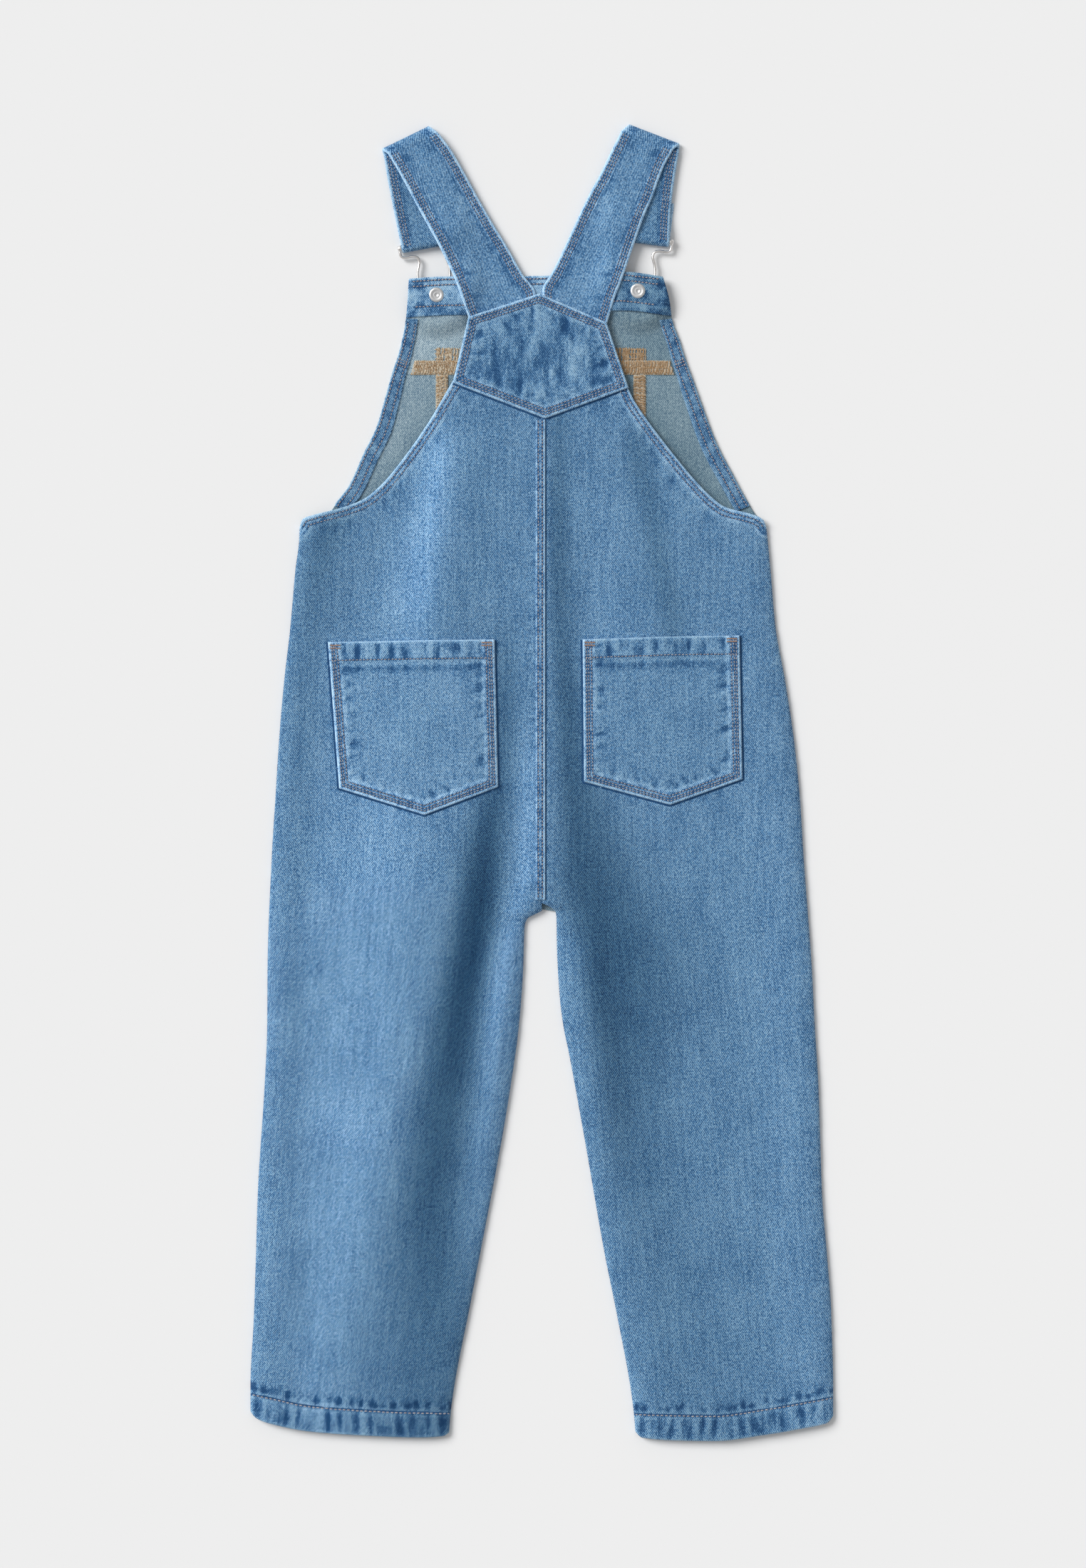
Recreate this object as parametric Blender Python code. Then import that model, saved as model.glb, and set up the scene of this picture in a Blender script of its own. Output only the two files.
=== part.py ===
"""Child's denim bib overalls, laid flat on their front with the back up.

The frame is metres with +Z up and the floor at z = 0. +Y runs from the leg hems to the straps and +X
to the right of someone who looks down on the back. Sizes below are in millimetres.
"""

import math

import bpy
import bmesh
from mathutils import Vector
from mathutils.bvhtree import BVHTree

MM = 0.001
MIDDLE_Y = 0.48         # middle of the garment's length, which is moved to y = 0

# Cloth and layers
CLOTH = 1.2             # wall of a body panel
TRIM = 1.0              # wall of a hem, facing or seam strip
STRAP = 1.6             # folded strap, two layers sewn together
GAP = 0.3               # left between pieces that touch
LOFT = 3.6              # air between the front and back panels
FRONT_INSET = 1.0       # the front's outline lies this far inside the back's
FRONT_EDGE = 0.4        # the front and bib end this far inside their armhole edges
SIDE_EDGE = 2.9         # height of the back's rounded side edge
SIDE_ROUND = 6.0        # length over which the side rounds up
BACK_HEIGHT = CLOTH + LOFT + CLOTH
ARMHOLE_HEIGHT = 5.4
HEM_HEIGHT = 5.8
ARMHOLE_FADE = 16.0     # length over which the back sinks to its armhole edge
HEM_FLAT = -400.0
HEM_FADE = 45.0         # length over which the folds fade out to the leg hems

# Places along the garment
HEM_BOW_START = -330.0
LEG_TOP = -60.0
CROTCH = -79.0
WAIST_SEAM = 252.0
SIDE_TOP = 158.2

# Metal
WIRE_R = 1.1
WIRE_Z = STRAP + GAP + WIRE_R
BUTTON_R = 8.5
SHANK_R = 2.4
BUTTON_HEAD = 1.6
RIVET_R = 4.6
RIVET_T = 0.9
BIB_LIFT = WIRE_Z + WIRE_R + GAP
LIFT_FLAT = 16.5        # radius of the bib's flat rise over a button
LIFT_FADE = 12.0        # the rise fades out over this length
BAR_TO_BUTTON = 32.4
BUTTON_OUTWARD = 2.2    # the loop leans outward by this at the button

# Outline of the body below the armholes
SIDES = (
    # y, left, right
    (158.2, -149.4, 138.4),
    (149.0, -149.8, 139.4),
    (131.8, -152.0, 141.0),
    (96.6, -155.1, 144.1),
    (61.4, -159.1, 150.3),
    (26.2, -162.1, 155.5),
    (-9.0, -164.3, 159.1),
    (-44.2, -166.5, 161.3),
    (-114.6, -169.2, 166.5),
    (-149.8, -169.4, 168.3),
    (-185.0, -170.9, 170.5),
    (-255.4, -175.3, 172.9),
    (-290.6, -176.3, 175.8),
    (-325.8, -177.5, 178.4),
    (-383.0, -179.7, 179.7),
    (-406.0, -179.7, 179.7),
)

# Inner edges of the legs, from the crotch to the hems
LEFT_INSEAM = (
    # y, x
    (-79.0, -0.15),
    (-81.0, -4.0),
    (-84.0, -9.3),
    (-89.0, -10.8),
    (-114.6, -11.7),
    (-149.8, -14.3),
    (-185.0, -19.1),
    (-220.2, -24.9),
    (-255.4, -31.5),
    (-325.8, -45.1),
    (-383.0, -56.1),
    (-406.0, -58.0),
)
RIGHT_INSEAM = (
    # y, x
    (-74.0, 0.15),
    (-76.5, 5.0),
    (-79.5, 8.6),
    (-84.0, 9.2),
    (-99.7, 9.4),
    (-132.2, 11.2),
    (-149.8, 13.4),
    (-167.0, 16.9),
    (-220.2, 26.6),
    (-290.6, 38.9),
    (-325.8, 46.0),
    (-383.0, 56.5),
    (-406.0, 58.5),
)

# Hem lines of the legs, from the outer side to the inner side of each leg
LEFT_HEM = (
    # share of the width, y
    (0.0, -388.0),
    (0.03, -391.6),
    (0.10, -394.8),
    (0.30, -399.6),
    (0.55, -401.9),
    (0.85, -403.3),
    (0.97, -402.6),
    (1.0, -400.6),
)
RIGHT_HEM = (
    # share of the width, y
    (0.0, -390.5),
    (0.03, -394.4),
    (0.15, -397.6),
    (0.35, -401.7),
    (0.60, -405.4),
    (0.80, -405.0),
    (0.97, -403.4),
    (1.0, -400.2),
)

# Armhole edges of the back, from the side seam up to the yoke
BACK_ARMHOLE_LEFT = (
    # x, y
    (-149.4, 158.2),
    (-147.2, 162.6),
    (-141.0, 164.8),
    (-124.0, 169.2),
    (-110.2, 174.5),
    (-99.7, 182.8),
    (-84.3, 201.3),
    (-70.2, 221.5),
    (-62.3, 234.7),
    (-56.5, 244.8),
    (-52.0, 251.0),
    (-40.0, 250.0),
    (-0.15, 240.0),
)
BACK_ARMHOLE_RIGHT = (
    # x, y
    (138.4, 158.2),
    (136.4, 162.0),
    (131.0, 164.8),
    (113.0, 169.8),
    (104.6, 176.0),
    (92.6, 188.5),
    (80.7, 203.0),
    (67.1, 220.6),
    (57.0, 235.4),
    (53.6, 242.0),
    (50.2, 248.6),
    (40.0, 250.0),
    (0.15, 240.0),
)

# Armhole edges of the front and bib, from the side seam up to the bib's top corner
FRONT_ARMHOLE_LEFT = (
    # y, x
    (158.2, -149.4),
    (163.0, -141.0),
    (167.4, -130.9),
    (173.6, -126.5),
    (182.8, -119.5),
    (203.1, -110.2),
    (219.3, -102.3),
    (238.7, -96.6),
    (254.1, -92.2),
    (265.5, -88.4),
    (284.5, -84.3),
    (297.2, -82.9),
    (310.4, -82.2),
)
FRONT_ARMHOLE_RIGHT = (
    # y, x
    (158.2, 138.4),
    (162.5, 135.0),
    (166.1, 131.8),
    (172.3, 127.8),
    (188.5, 119.0),
    (210.5, 107.6),
    (233.9, 98.8),
    (246.2, 94.4),
    (263.3, 88.2),
    (271.7, 85.6),
    (286.7, 80.3),
    (295.9, 79.0),
    (311.7, 74.6),
)
BIB_TOP = (
    # x, y
    (-82.2, 310.4),
    (-60.0, 311.7),
    (0.0, 312.6),
    (50.4, 314.6),
    (74.6, 311.7),
)
BIB_CORNER = 311.0
BIB_HEM_DEPTH = 23.5
FACING_WIDTHS = (
    # y, width of the armhole facings
    (170.0, 9.0),
    (203.0, 9.5),
    (238.7, 9.0),
    (254.0, 8.2),
    (290.0, 7.0),
)
FACING_BOTTOM = 171.0
FACING_BELOW_HEM = 1.4

# Seam strips that show inside
WAIST_STRIP = 8.4
WAIST_STRIP_LEFT = (-81.0, -78.4)       # its lower and upper corner between the armhole facings
WAIST_STRIP_RIGHT = (81.6, 78.4)
FRONT_SEAM_LEFT = -61.6
FRONT_SEAM_RIGHT = 60.3
FRONT_SEAM_WIDTH = 7.4
FRONT_SEAM_END = 150.0

# The yoke, its top and bottom edges with the same share of the width
YOKE = (
    # share, x and y of the bottom edge, x and y of the top edge
    (0.0, -54.8, 246.6, -45.1, 287.1),
    (0.5, 2.0, 224.6, -1.5, 301.4),
    (1.0, 53.2, 243.5, 39.8, 283.6),
)
ARMHOLE_HEM = 6.4
ARMHOLE_HEM_EDGE = 0.5
ARMHOLE_HEM_INSET = 14.0
CENTRE_SEAM_LEFT = -3.7
CENTRE_SEAM_RIGHT = 2.0
CENTRE_SEAM_TOP = 223.6
CENTRE_SEAM_END = -72.0

# Pockets, each edge with the same share of the width
POCKET_LEFT = (
    # share, x and y of the top edge, x and y of the bottom edge
    (0.0, -131.6, 86.5, -124.7, -3.3),
    (0.536, -76.8, 87.6, -72.4, -19.6),
    (1.0, -29.3, 88.2, -27.1, -2.4),
)
POCKET_RIGHT = (
    # share, x and y of the top edge, x and y of the bottom edge
    (0.0, 25.3, 88.2, 26.2, 0.7),
    (0.543, 77.5, 90.0, 79.0, -13.4),
    (1.0, 121.6, 90.6, 123.4, 2.4),
)

# Leg hems, turned in
LEG_HEM = 15.0
LEG_HEM_INSET = 9.0
LEG_HEM_EDGE = 1.2

# Largest folds of the back, each running down the garment
FOLDS = (
    # x and y of its top, x and y of its bottom, widths to the left and right, height
    (-57.0, 225.0, -66.0, 70.0, 13.0, 22.0, 1.2),
    (-27.0, 120.0, -27.0, -20.0, 16.0, 16.0, -0.9),
    (2.0, 215.0, 3.0, -30.0, 16.0, 14.0, 0.9),
    (3.0, 30.0, 0.0, -90.0, 17.0, 26.0, 1.3),
    (52.0, 210.0, 62.0, 90.0, 16.0, 16.0, -0.7),
    (-27.5, -10.0, -54.0, -320.0, 15.0, 15.0, -1.6),
    (-55.0, 10.0, -108.0, -360.0, 40.0, 24.0, 1.4),
    (-18.5, -80.0, -36.0, -260.0, 8.0, 9.0, 1.1),
    (17.0, -70.0, 42.0, -250.0, 10.0, 16.0, 1.0),
    (38.0, -20.0, 62.0, -270.0, 14.0, 26.0, -1.2),
)
FOLD_TAPER = 0.3

# Buckle wire, half of it from the middle of its bar to the far end of its loop
WIRE_PATH = (
    # along the bar, away from the strap
    (0.0, 0.0),
    (17.6, 0.0),
    (19.0, 0.5),
    (19.5, 1.9),
    (19.4, 4.4),
    (18.2, 5.8),
    (16.0, 6.2),
    (12.4, 6.2),
    (9.6, 7.2),
    (8.4, 9.6),
    (8.9, 12.6),
    (9.9, 16.4),
    (9.9, 21.5),
    (8.6, 27.5),
    (6.3, 32.8),
    (3.5, 36.2),
    (0.0, 37.4),
)

# Straps: the back stretch from the yoke up to the fold, then the front stretch down to the buckle
STRAP_LEFT_BACK = (
    # x and y of the outer edge, x and y of the inner edge
    (-42.3, 280.0, -3.6, 293.6),
    (-45.1, 287.1, -4.2, 302.1),
    (-48.6, 296.8, -12.1, 313.5),
    (-53.9, 311.3, -21.3, 329.8),
    (-62.7, 329.8, -31.5, 346.5),
    (-70.6, 344.3, -39.8, 361.0),
    (-79.4, 360.6, -48.2, 376.4),
    (-88.2, 376.9, -56.5, 390.5),
    (-94.4, 387.4, -64.5, 401.0),
)
STRAP_LEFT_FRONT = (
    # x and y of the outer edge, x and y of the inner edge
    (-97.2, 386.6, -66.6, 400.4),
    (-94.8, 371.6, -60.9, 380.4),
    (-92.6, 360.6, -57.9, 367.6),
    (-90.0, 347.4, -55.2, 354.0),
    (-87.3, 334.6, -52.6, 341.0),
    (-85.6, 326.7, -50.6, 333.1),
)
STRAP_LEFT_CREST = (-98.3, 390.5, -69.3, 404.6)
STRAP_RIGHT_BACK = (
    # x and y of the outer edge, x and y of the inner edge
    (38.0, 276.6, 1.0, 293.0),
    (41.1, 287.1, 0.6, 303.4),
    (45.1, 299.9, 6.8, 315.3),
    (48.6, 308.7, 11.7, 325.0),
    (55.7, 329.3, 20.0, 343.0),
    (63.1, 350.0, 30.1, 364.1),
    (67.5, 360.1, 35.4, 373.8),
    (75.0, 380.0, 44.2, 391.8),
    (80.7, 390.4, 49.1, 401.6),
)
STRAP_RIGHT_FRONT = (
    # x and y of the outer edge, x and y of the inner edge
    (84.4, 389.6, 51.9, 400.6),
    (82.1, 375.5, 47.3, 381.7),
    (80.3, 362.8, 45.1, 368.5),
    (79.0, 350.0, 43.8, 354.6),
    (78.5, 338.6, 43.3, 342.8),
    (78.1, 330.4, 42.7, 334.6),
)
STRAP_RIGHT_CREST = (84.7, 393.6, 53.5, 405.6)
STRAP_RETURN = 24.0     # turned-up end beneath the strap
STRAP_CLIMB = 12.0      # length over which the strap climbs onto its turned-up end
BAR_CLIMB = 17.0        # and over the buckle's bar
STRAP_FOLD_R = 1.2

MATERIALS = {
    # name: colour, roughness, metallic
    "denim": ((0.115, 0.235, 0.400), 0.88, 0.0),
    "denim_inside": ((0.290, 0.390, 0.470), 0.90, 0.0),
    "overlock_thread": ((0.390, 0.330, 0.280), 0.85, 0.0),
    "metal": ((0.620, 0.620, 0.610), 0.35, 1.0),
}

# Shares of a back panel's width where its columns lie, closer at both edges
PANEL_COLUMNS = (0.0, 0.012, 0.035, 0.07, 0.12, 0.19, 0.27, 0.36, 0.45, 0.54, 0.63, 0.72, 0.80, 0.87,
                 0.925, 0.965, 0.988, 1.0)
# Shares of the height from the top of the legs to the armhole edge where rows lie
TORSO_ROWS = (0.0, 0.07, 0.14, 0.21, 0.29, 0.37, 0.45, 0.53, 0.61, 0.69, 0.77, 0.85, 0.92, 0.975, 1.0)
LEG_ROWS = (-70.0, -76.5, -80.0, -84.0, -89.0, -100.0, -118.0, -138.0, -158.0, -178.0, -198.0, -220.0,
            -243.0, -266.0, -289.0, -312.0, -334.0, -354.0, -371.0, -383.0, -392.0, -398.0)
FRONT_SIDE_ROWS = (-383.0, -355.0, -325.8, -290.6, -255.4, -220.0, -185.0, -149.8, -114.6, -79.0, -44.2,
                   -9.0, 26.2, 61.4, 96.6, 131.8, 152.0)
FRONT_HEM_SHARES = (0.97, 0.85, 0.7, 0.55, 0.42, 0.3, 0.2, 0.1, 0.03)
# Shares of the bib's width and height, closer over the buttons
BIB_COLUMNS = (0.0, 0.03, 0.06, 0.09, 0.125, 0.165, 0.21, 0.26, 0.34, 0.46, 0.58, 0.68, 0.75, 0.80,
               0.845, 0.885, 0.92, 0.955, 0.98, 1.0)
BIB_ROWS = (0.0, 0.2, 0.38, 0.5, 0.6, 0.68, 0.76, 0.84, 0.92, 1.0)

solids = {}


def remove_everything():
    """Empties the scene of objects."""
    for thing in list(bpy.data.objects):
        bpy.data.objects.remove(thing, do_unlink=True)


def material(name):
    """The Principled material of this name, made on first use."""
    made = bpy.data.materials.get(name)
    if made is None:
        colour, roughness, metallic = MATERIALS[name]
        made = bpy.data.materials.new(name)
        made.use_nodes = True
        shader = made.node_tree.nodes["Principled BSDF"]
        shader.inputs["Base Color"].default_value = (*colour, 1.0)
        shader.inputs["Roughness"].default_value = roughness
        shader.inputs["Metallic"].default_value = metallic
        made.diffuse_color = (*colour, 1.0)
    return made


def mix(a, b, share):
    """The value at a share of the way from a to b."""
    return a + (b - a) * share


def ease(share):
    """A share from 0 to 1, with soft ends."""
    share = min(max(share, 0.0), 1.0)
    return share * share * (3.0 - 2.0 * share)


def read(table, place, column=1):
    """The value of a column at a place along the table's first column, on a smooth curve."""
    rows = sorted(table)
    if place <= rows[0][0]:
        return rows[0][column]
    if place >= rows[-1][0]:
        return rows[-1][column]
    last = len(rows) - 1
    i = next(k for k in range(last) if rows[k + 1][0] >= place)

    def slope(k):
        if k < 0 or k >= last:
            return None
        return (rows[k + 1][column] - rows[k][column]) / (rows[k + 1][0] - rows[k][0])

    def tangent(before, after):
        if before is None or after is None:
            return after if before is None else before
        if before * after <= 0.0:
            return 0.0
        return 2.0 * before * after / (before + after)

    here = slope(i)
    start = tangent(slope(i - 1), here)
    end = tangent(here, slope(i + 1))
    width = rows[i + 1][0] - rows[i][0]
    t = (place - rows[i][0]) / width
    low, high = rows[i][column], rows[i + 1][column]
    return (low * (2 * t ** 3 - 3 * t ** 2 + 1) + start * width * (t ** 3 - 2 * t ** 2 + t)
            + high * (3 * t ** 2 - 2 * t ** 3) + end * width * (t ** 3 - t ** 2))


def add_solid(name, points, faces, slot):
    """Makes one closed body from points in millimetres and keeps it as a support for later pieces."""
    mesh = bpy.data.meshes.new(name)
    mesh.from_pydata([(x * MM, (y - MIDDLE_Y) * MM, z * MM) for x, y, z in points], [], faces)
    tidy = bmesh.new()
    tidy.from_mesh(mesh)
    bmesh.ops.triangulate(tidy, faces=tidy.faces[:], quad_method="FIXED")
    bmesh.ops.recalc_face_normals(tidy, faces=tidy.faces[:])
    tidy.to_mesh(mesh)
    solids[name] = (list(points), [[v.index for v in f.verts] for f in tidy.faces])
    tidy.free()
    mesh.shade_smooth()
    mesh.set_sharp_from_angle(angle=math.radians(40))
    mesh.materials.append(material(slot))
    made = bpy.data.objects.new(name, mesh)
    bpy.context.scene.collection.objects.link(made)
    return made


def sheet(name, lower, upper, slot):
    """Closes a lower and an upper grid of points into one wall."""
    rows, columns = len(lower), len(lower[0])
    count = rows * columns
    points = [p for row in lower for p in row] + [p for row in upper for p in row]

    def at(i, j):
        return i * columns + j

    faces = []
    for i in range(rows - 1):
        for j in range(columns - 1):
            # Both walls are split along the diagonal that starts at the cell's first corner.
            first, second, third, fourth = at(i, j), at(i, j + 1), at(i + 1, j + 1), at(i + 1, j)
            faces.append((first, fourth, third, second))
            faces.append((first + count, second + count, third + count, fourth + count))
    rim = [at(0, j) for j in range(columns)]
    rim += [at(i, columns - 1) for i in range(1, rows)]
    rim += [at(rows - 1, j) for j in range(columns - 2, -1, -1)]
    rim += [at(i, 0) for i in range(rows - 2, 0, -1)]
    for a, b in zip(rim, rim[1:] + rim[:1]):
        faces.append((a, b, b + count, a + count))
    return add_solid(name, points, faces, slot)


def plate(name, outline, bottom, top, slot):
    """A flat piece of this outline between two heights."""
    count = len(outline)
    points = [(x, y, bottom) for x, y in outline] + [(x, y, top) for x, y in outline]
    faces = [tuple(range(count - 1, -1, -1)), tuple(range(count, 2 * count))]
    for a in range(count):
        b = (a + 1) % count
        faces.append((a, b, b + count, a + count))
    return add_solid(name, points, faces, slot)


def turned(name, centre, profile, slot, sides=18):
    """A round piece about an upright axis. The profile gives radius and height, from axis to axis."""
    points, faces, rings = [], [], []
    for radius, height in profile:
        if radius == 0.0:
            rings.append([len(points)])
            points.append((centre[0], centre[1], height))
            continue
        rings.append(list(range(len(points), len(points) + sides)))
        for k in range(sides):
            angle = 2.0 * math.pi * k / sides
            x = centre[0] + radius * math.cos(angle)
            y = centre[1] + radius * math.sin(angle)
            points.append((x, y, height))
    for low, high in zip(rings, rings[1:]):
        for k in range(sides):
            n = (k + 1) % sides
            if len(low) == 1:
                faces.append((low[0], high[n], high[k]))
            elif len(high) == 1:
                faces.append((low[k], low[n], high[0]))
            else:
                faces.append((low[k], low[n], high[n], high[k]))
    return add_solid(name, points, faces, slot)


def tree_of(names):
    """One search tree over the solids of these names."""
    points, faces = [], []
    for name in names:
        start = len(points)
        points += solids[name][0]
        faces += [[k + start for k in face] for face in solids[name][1]]
    return BVHTree.FromPolygons(points, faces)


def top_at(tree, x, y, floor=0.0):
    """Height of the highest solid in the tree at a place, or the floor."""
    hit = tree.ray_cast(Vector((x, y, 100.0)), Vector((0.0, 0.0, -1.0)))[0]
    return floor if hit is None else max(floor, hit.z)


def cell_samples(grid, i, j, parts=6):
    """Places spread over the two triangles of a cell, each with the weights of the cell's corners."""
    corners = (grid[i][j], grid[i][j + 1], grid[i + 1][j + 1], grid[i + 1][j])
    for a in range(parts + 1):
        for b in range(parts + 1):
            u, v = a / parts, b / parts
            weights = (1.0 - u, u - v, v, 0.0) if u >= v else (1.0 - v, 0.0, u, v - u)
            x, y = (sum(w * c[k] for w, c in zip(weights, corners)) for k in range(2))
            yield x, y, weights, corners


def lay(grid, names, gap=GAP, floor=0.0, tries=16):
    """Lifts the heights of a grid of points until its facets clear the solids beneath by the gap."""
    tree = tree_of(names)
    grid = [[[x, y, max(z, top_at(tree, x, y, floor) + gap)] for x, y, z in row] for row in grid]
    # No corner is lifted past the highest place that its own cells have to clear.
    wanted, highest = [], {}
    for i in range(len(grid) - 1):
        for j in range(len(grid[0]) - 1):
            for x, y, weights, corners in cell_samples(grid, i, j):
                need = top_at(tree, x, y, floor) + gap
                wanted.append((need, weights, corners))
                for corner in corners:
                    highest[id(corner)] = max(highest.get(id(corner), need), need)
    for _ in range(tries):
        lifted = False
        for need, weights, corners in wanted:
            short = need - sum(w * c[2] for w, c in zip(weights, corners))
            if short <= 0.01:
                continue
            lifted = True
            for w, corner in zip(weights, corners):
                if w > 0.0:
                    corner[2] = max(corner[2], min(corner[2] + short, highest[id(corner)]))
        if not lifted:
            break
    return grid


def tuck(grid, names, gap=GAP):
    """Lowers the heights of a grid of places until its facets clear the undersides above by the gap."""
    mirrored = []
    for name in names:
        points, faces = solids[name]
        solids[name + " mirrored"] = ([(p[0], p[1], -p[2]) for p in points], faces)
        mirrored.append(name + " mirrored")
    deep = [[(x, y, -100.0) for x, y in row] for row in grid]
    found = lay(deep, mirrored, gap=gap, floor=-100.0)
    for name in mirrored:
        del solids[name]
    return [[(x, y, -z) for x, y, z in row] for row in found]


def highest_under(names, centre, radius):
    """Height of the highest place beneath a disc."""
    tree = tree_of(names)
    heights = []
    for ring in range(7):
        reach = radius * ring / 6.0
        for k in range(24):
            angle = 2.0 * math.pi * k / 24
            x = centre[0] + reach * math.cos(angle)
            y = centre[1] + reach * math.sin(angle)
            heights.append(top_at(tree, x, y))
    return max(heights)


def raised(grid, wall):
    """The grid moved up by a wall's thickness."""
    return [[(x, y, z + wall) for x, y, z in row] for row in grid]


def button_places():
    """Centres of the two buttons, worked out from the ends of the straps."""
    return {side: along_bar(side, 0.0, BAR_TO_BUTTON) for side in ("left", "right")}


def bar_frame(side):
    """Middle of a buckle's bar, the direction along it and the direction away from the strap."""
    front = STRAP_LEFT_FRONT if side == "left" else STRAP_RIGHT_FRONT
    x0, y0, x1, y1 = front[-1]
    along = Vector((x1 - x0, y1 - y0)).normalized()
    away = Vector((along.y, -along.x))
    if away.y > 0.0:
        away = -away
    centre = Vector(((x0 + x1) / 2.0, (y0 + y1) / 2.0)) - away * (WIRE_R + GAP + STRAP)
    return centre, along, away


def along_bar(side, across, down):
    """A place given along a buckle's bar and away from it, with the buckle's outward lean."""
    centre, along, away = bar_frame(side)
    lean = BUTTON_OUTWARD * ease(down / BAR_TO_BUTTON)
    place = centre + along * (across - lean) + away * down
    return place.x, place.y


def bib_lift(x, y):
    """How far the bib rises over the buttons at a place."""
    lift = 0.0
    for bx, by in button_places().values():
        distance = math.hypot(x - bx, y - by)
        lift = max(lift, BIB_LIFT * (1.0 - ease((distance - LIFT_FLAT) / LIFT_FADE)))
    return lift


def fold_height(x, y):
    """Sum of the largest folds at a place."""
    total = 0.0
    for x_top, y_top, x_end, y_end, wide_left, wide_right, height in FOLDS:
        share = (y_top - y) / (y_top - y_end)
        if not 0.0 < share < 1.0:
            continue
        offset = x - mix(x_top, x_end, share)
        width = wide_left if offset < 0.0 else wide_right
        ends = ease(share / FOLD_TAPER) * ease((1.0 - share) / FOLD_TAPER)
        total += height * ends * math.exp(-(offset / width) ** 2)
    return total


def front_outline(side):
    """Outline of one front leg panel, from the hem's outer corner round by the waist seam."""
    sign = -1.0 if side == "left" else 1.0
    column = 1 if side == "left" else 2
    inseam = LEFT_INSEAM if side == "left" else RIGHT_INSEAM
    hem = LEFT_HEM if side == "left" else RIGHT_HEM
    armhole = FRONT_ARMHOLE_LEFT if side == "left" else FRONT_ARMHOLE_RIGHT
    outer_y = hem[0][1] + FRONT_INSET
    outline = []
    for y in (outer_y, *FRONT_SIDE_ROWS):
        outline.append((read(SIDES, y, column) - sign * FRONT_INSET, y))
    for y, x in armhole:
        if SIDE_TOP < y < WAIST_SEAM:
            outline.append((x - sign * FRONT_EDGE, y))
    top = WAIST_SEAM - GAP / 2.0
    outline.append((read(armhole, top) - sign * FRONT_EDGE, top))
    outline.append((sign * GAP / 2.0, top))
    outline.append((sign * GAP / 2.0, inseam[0][0] + FRONT_INSET))
    for y, x in inseam[1:-1]:
        outline.append((x + sign * FRONT_INSET, y))
    outline.append((read(inseam, hem[-1][1]) + sign * FRONT_INSET, hem[-1][1] + FRONT_INSET))
    outer, inner = outline[0][0], outline[-1][0]
    for share in FRONT_HEM_SHARES:
        outline.append((mix(outer, inner, share), read(hem, share) + FRONT_INSET))
    return outline


def make_fronts():
    """The two front leg panels, flat on the floor."""
    for side in ("left", "right"):
        plate("front_" + side, front_outline(side), 0.0, CLOTH, "denim_inside")


def bib_point(share, height):
    """A place on the bib by its shares of the width and the height."""
    bottom = WAIST_SEAM + GAP / 2.0
    y = mix(bottom, BIB_CORNER, height)
    left = read(FRONT_ARMHOLE_LEFT, y) + FRONT_EDGE
    right = read(FRONT_ARMHOLE_RIGHT, y) - FRONT_EDGE
    x = mix(left, right, share)
    return x, mix(bottom, read(BIB_TOP, x), height)


def make_bib():
    """The bib, which rises over the two buttons beneath it."""
    lower = []
    for height in BIB_ROWS:
        row = []
        for share in BIB_COLUMNS:
            x, y = bib_point(share, height)
            row.append((x, y, bib_lift(x, y)))
        lower.append(row)
    sheet("bib", lower, raised(lower, CLOTH), "denim_inside")


def make_bib_hem():
    """The bib's top hem, turned to the inside."""
    bottom = WAIST_SEAM + GAP / 2.0
    grid = []
    for i in range(6):
        row = []
        for share in BIB_COLUMNS:
            x, y_top = bib_point(share, 1.0)
            depth = BIB_HEM_DEPTH * (1.0 - i / 5.0)
            height = (y_top - depth - bottom) / (y_top - bottom)
            x, y = bib_point(share, height)
            row.append((x, y, 0.0))
        grid.append(row)
    grid = lay(grid, ["bib"])
    sheet("bib_top_hem", grid, raised(grid, TRIM), "denim")


def make_armhole_facings():
    """Narrow facings inside the front's armhole edges, from the bib's hem to the side seams."""
    top = BIB_CORNER - BIB_HEM_DEPTH - FACING_BELOW_HEM
    for side, armhole in (("left", FRONT_ARMHOLE_LEFT), ("right", FRONT_ARMHOLE_RIGHT)):
        sign = -1.0 if side == "left" else 1.0
        grid = []
        count = 16
        for i in range(count + 1):
            y = mix(FACING_BOTTOM, top, i / count)
            x = read(armhole, y) - sign * FRONT_EDGE
            slope = read(armhole, y + 0.5) - read(armhole, y - 0.5)
            inward = (Vector((-sign, sign * slope)).normalized() + Vector((-sign * 0.4, 0.0))).normalized()
            end = Vector((x, y)) + inward * read(FACING_WIDTHS, y)
            row = [(x, y, 0.0), (mix(x, end.x, 0.5), mix(y, end.y, 0.5), 0.0), (end.x, end.y, 0.0)]
            grid.append(row if side == "left" else row[::-1])
        grid = lay(grid, ["front_" + side, "bib"])
        sheet("armhole_facing_" + side, grid, raised(grid, TRIM), "denim")


def make_inside_seams():
    """Overlocked seam allowances: one across at the waist and one upright in each front."""
    low, high = WAIST_SEAM - 0.2, WAIST_SEAM + WAIST_STRIP
    base = CLOTH + GAP
    outline = [(WAIST_STRIP_LEFT[0], low), (WAIST_STRIP_RIGHT[0], low),
               (WAIST_STRIP_RIGHT[1], high), (WAIST_STRIP_LEFT[1], high)]
    plate("waist_seam", outline, base, base + TRIM, "overlock_thread")
    half = FRONT_SEAM_WIDTH / 2.0
    for side, x in (("left", FRONT_SEAM_LEFT), ("right", FRONT_SEAM_RIGHT)):
        high = low - GAP
        outline = [(x - half, FRONT_SEAM_END), (x + half, FRONT_SEAM_END), (x + half, high), (x - half, high)]
        plate("front_seam_" + side, outline, base, base + TRIM, "overlock_thread")


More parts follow.
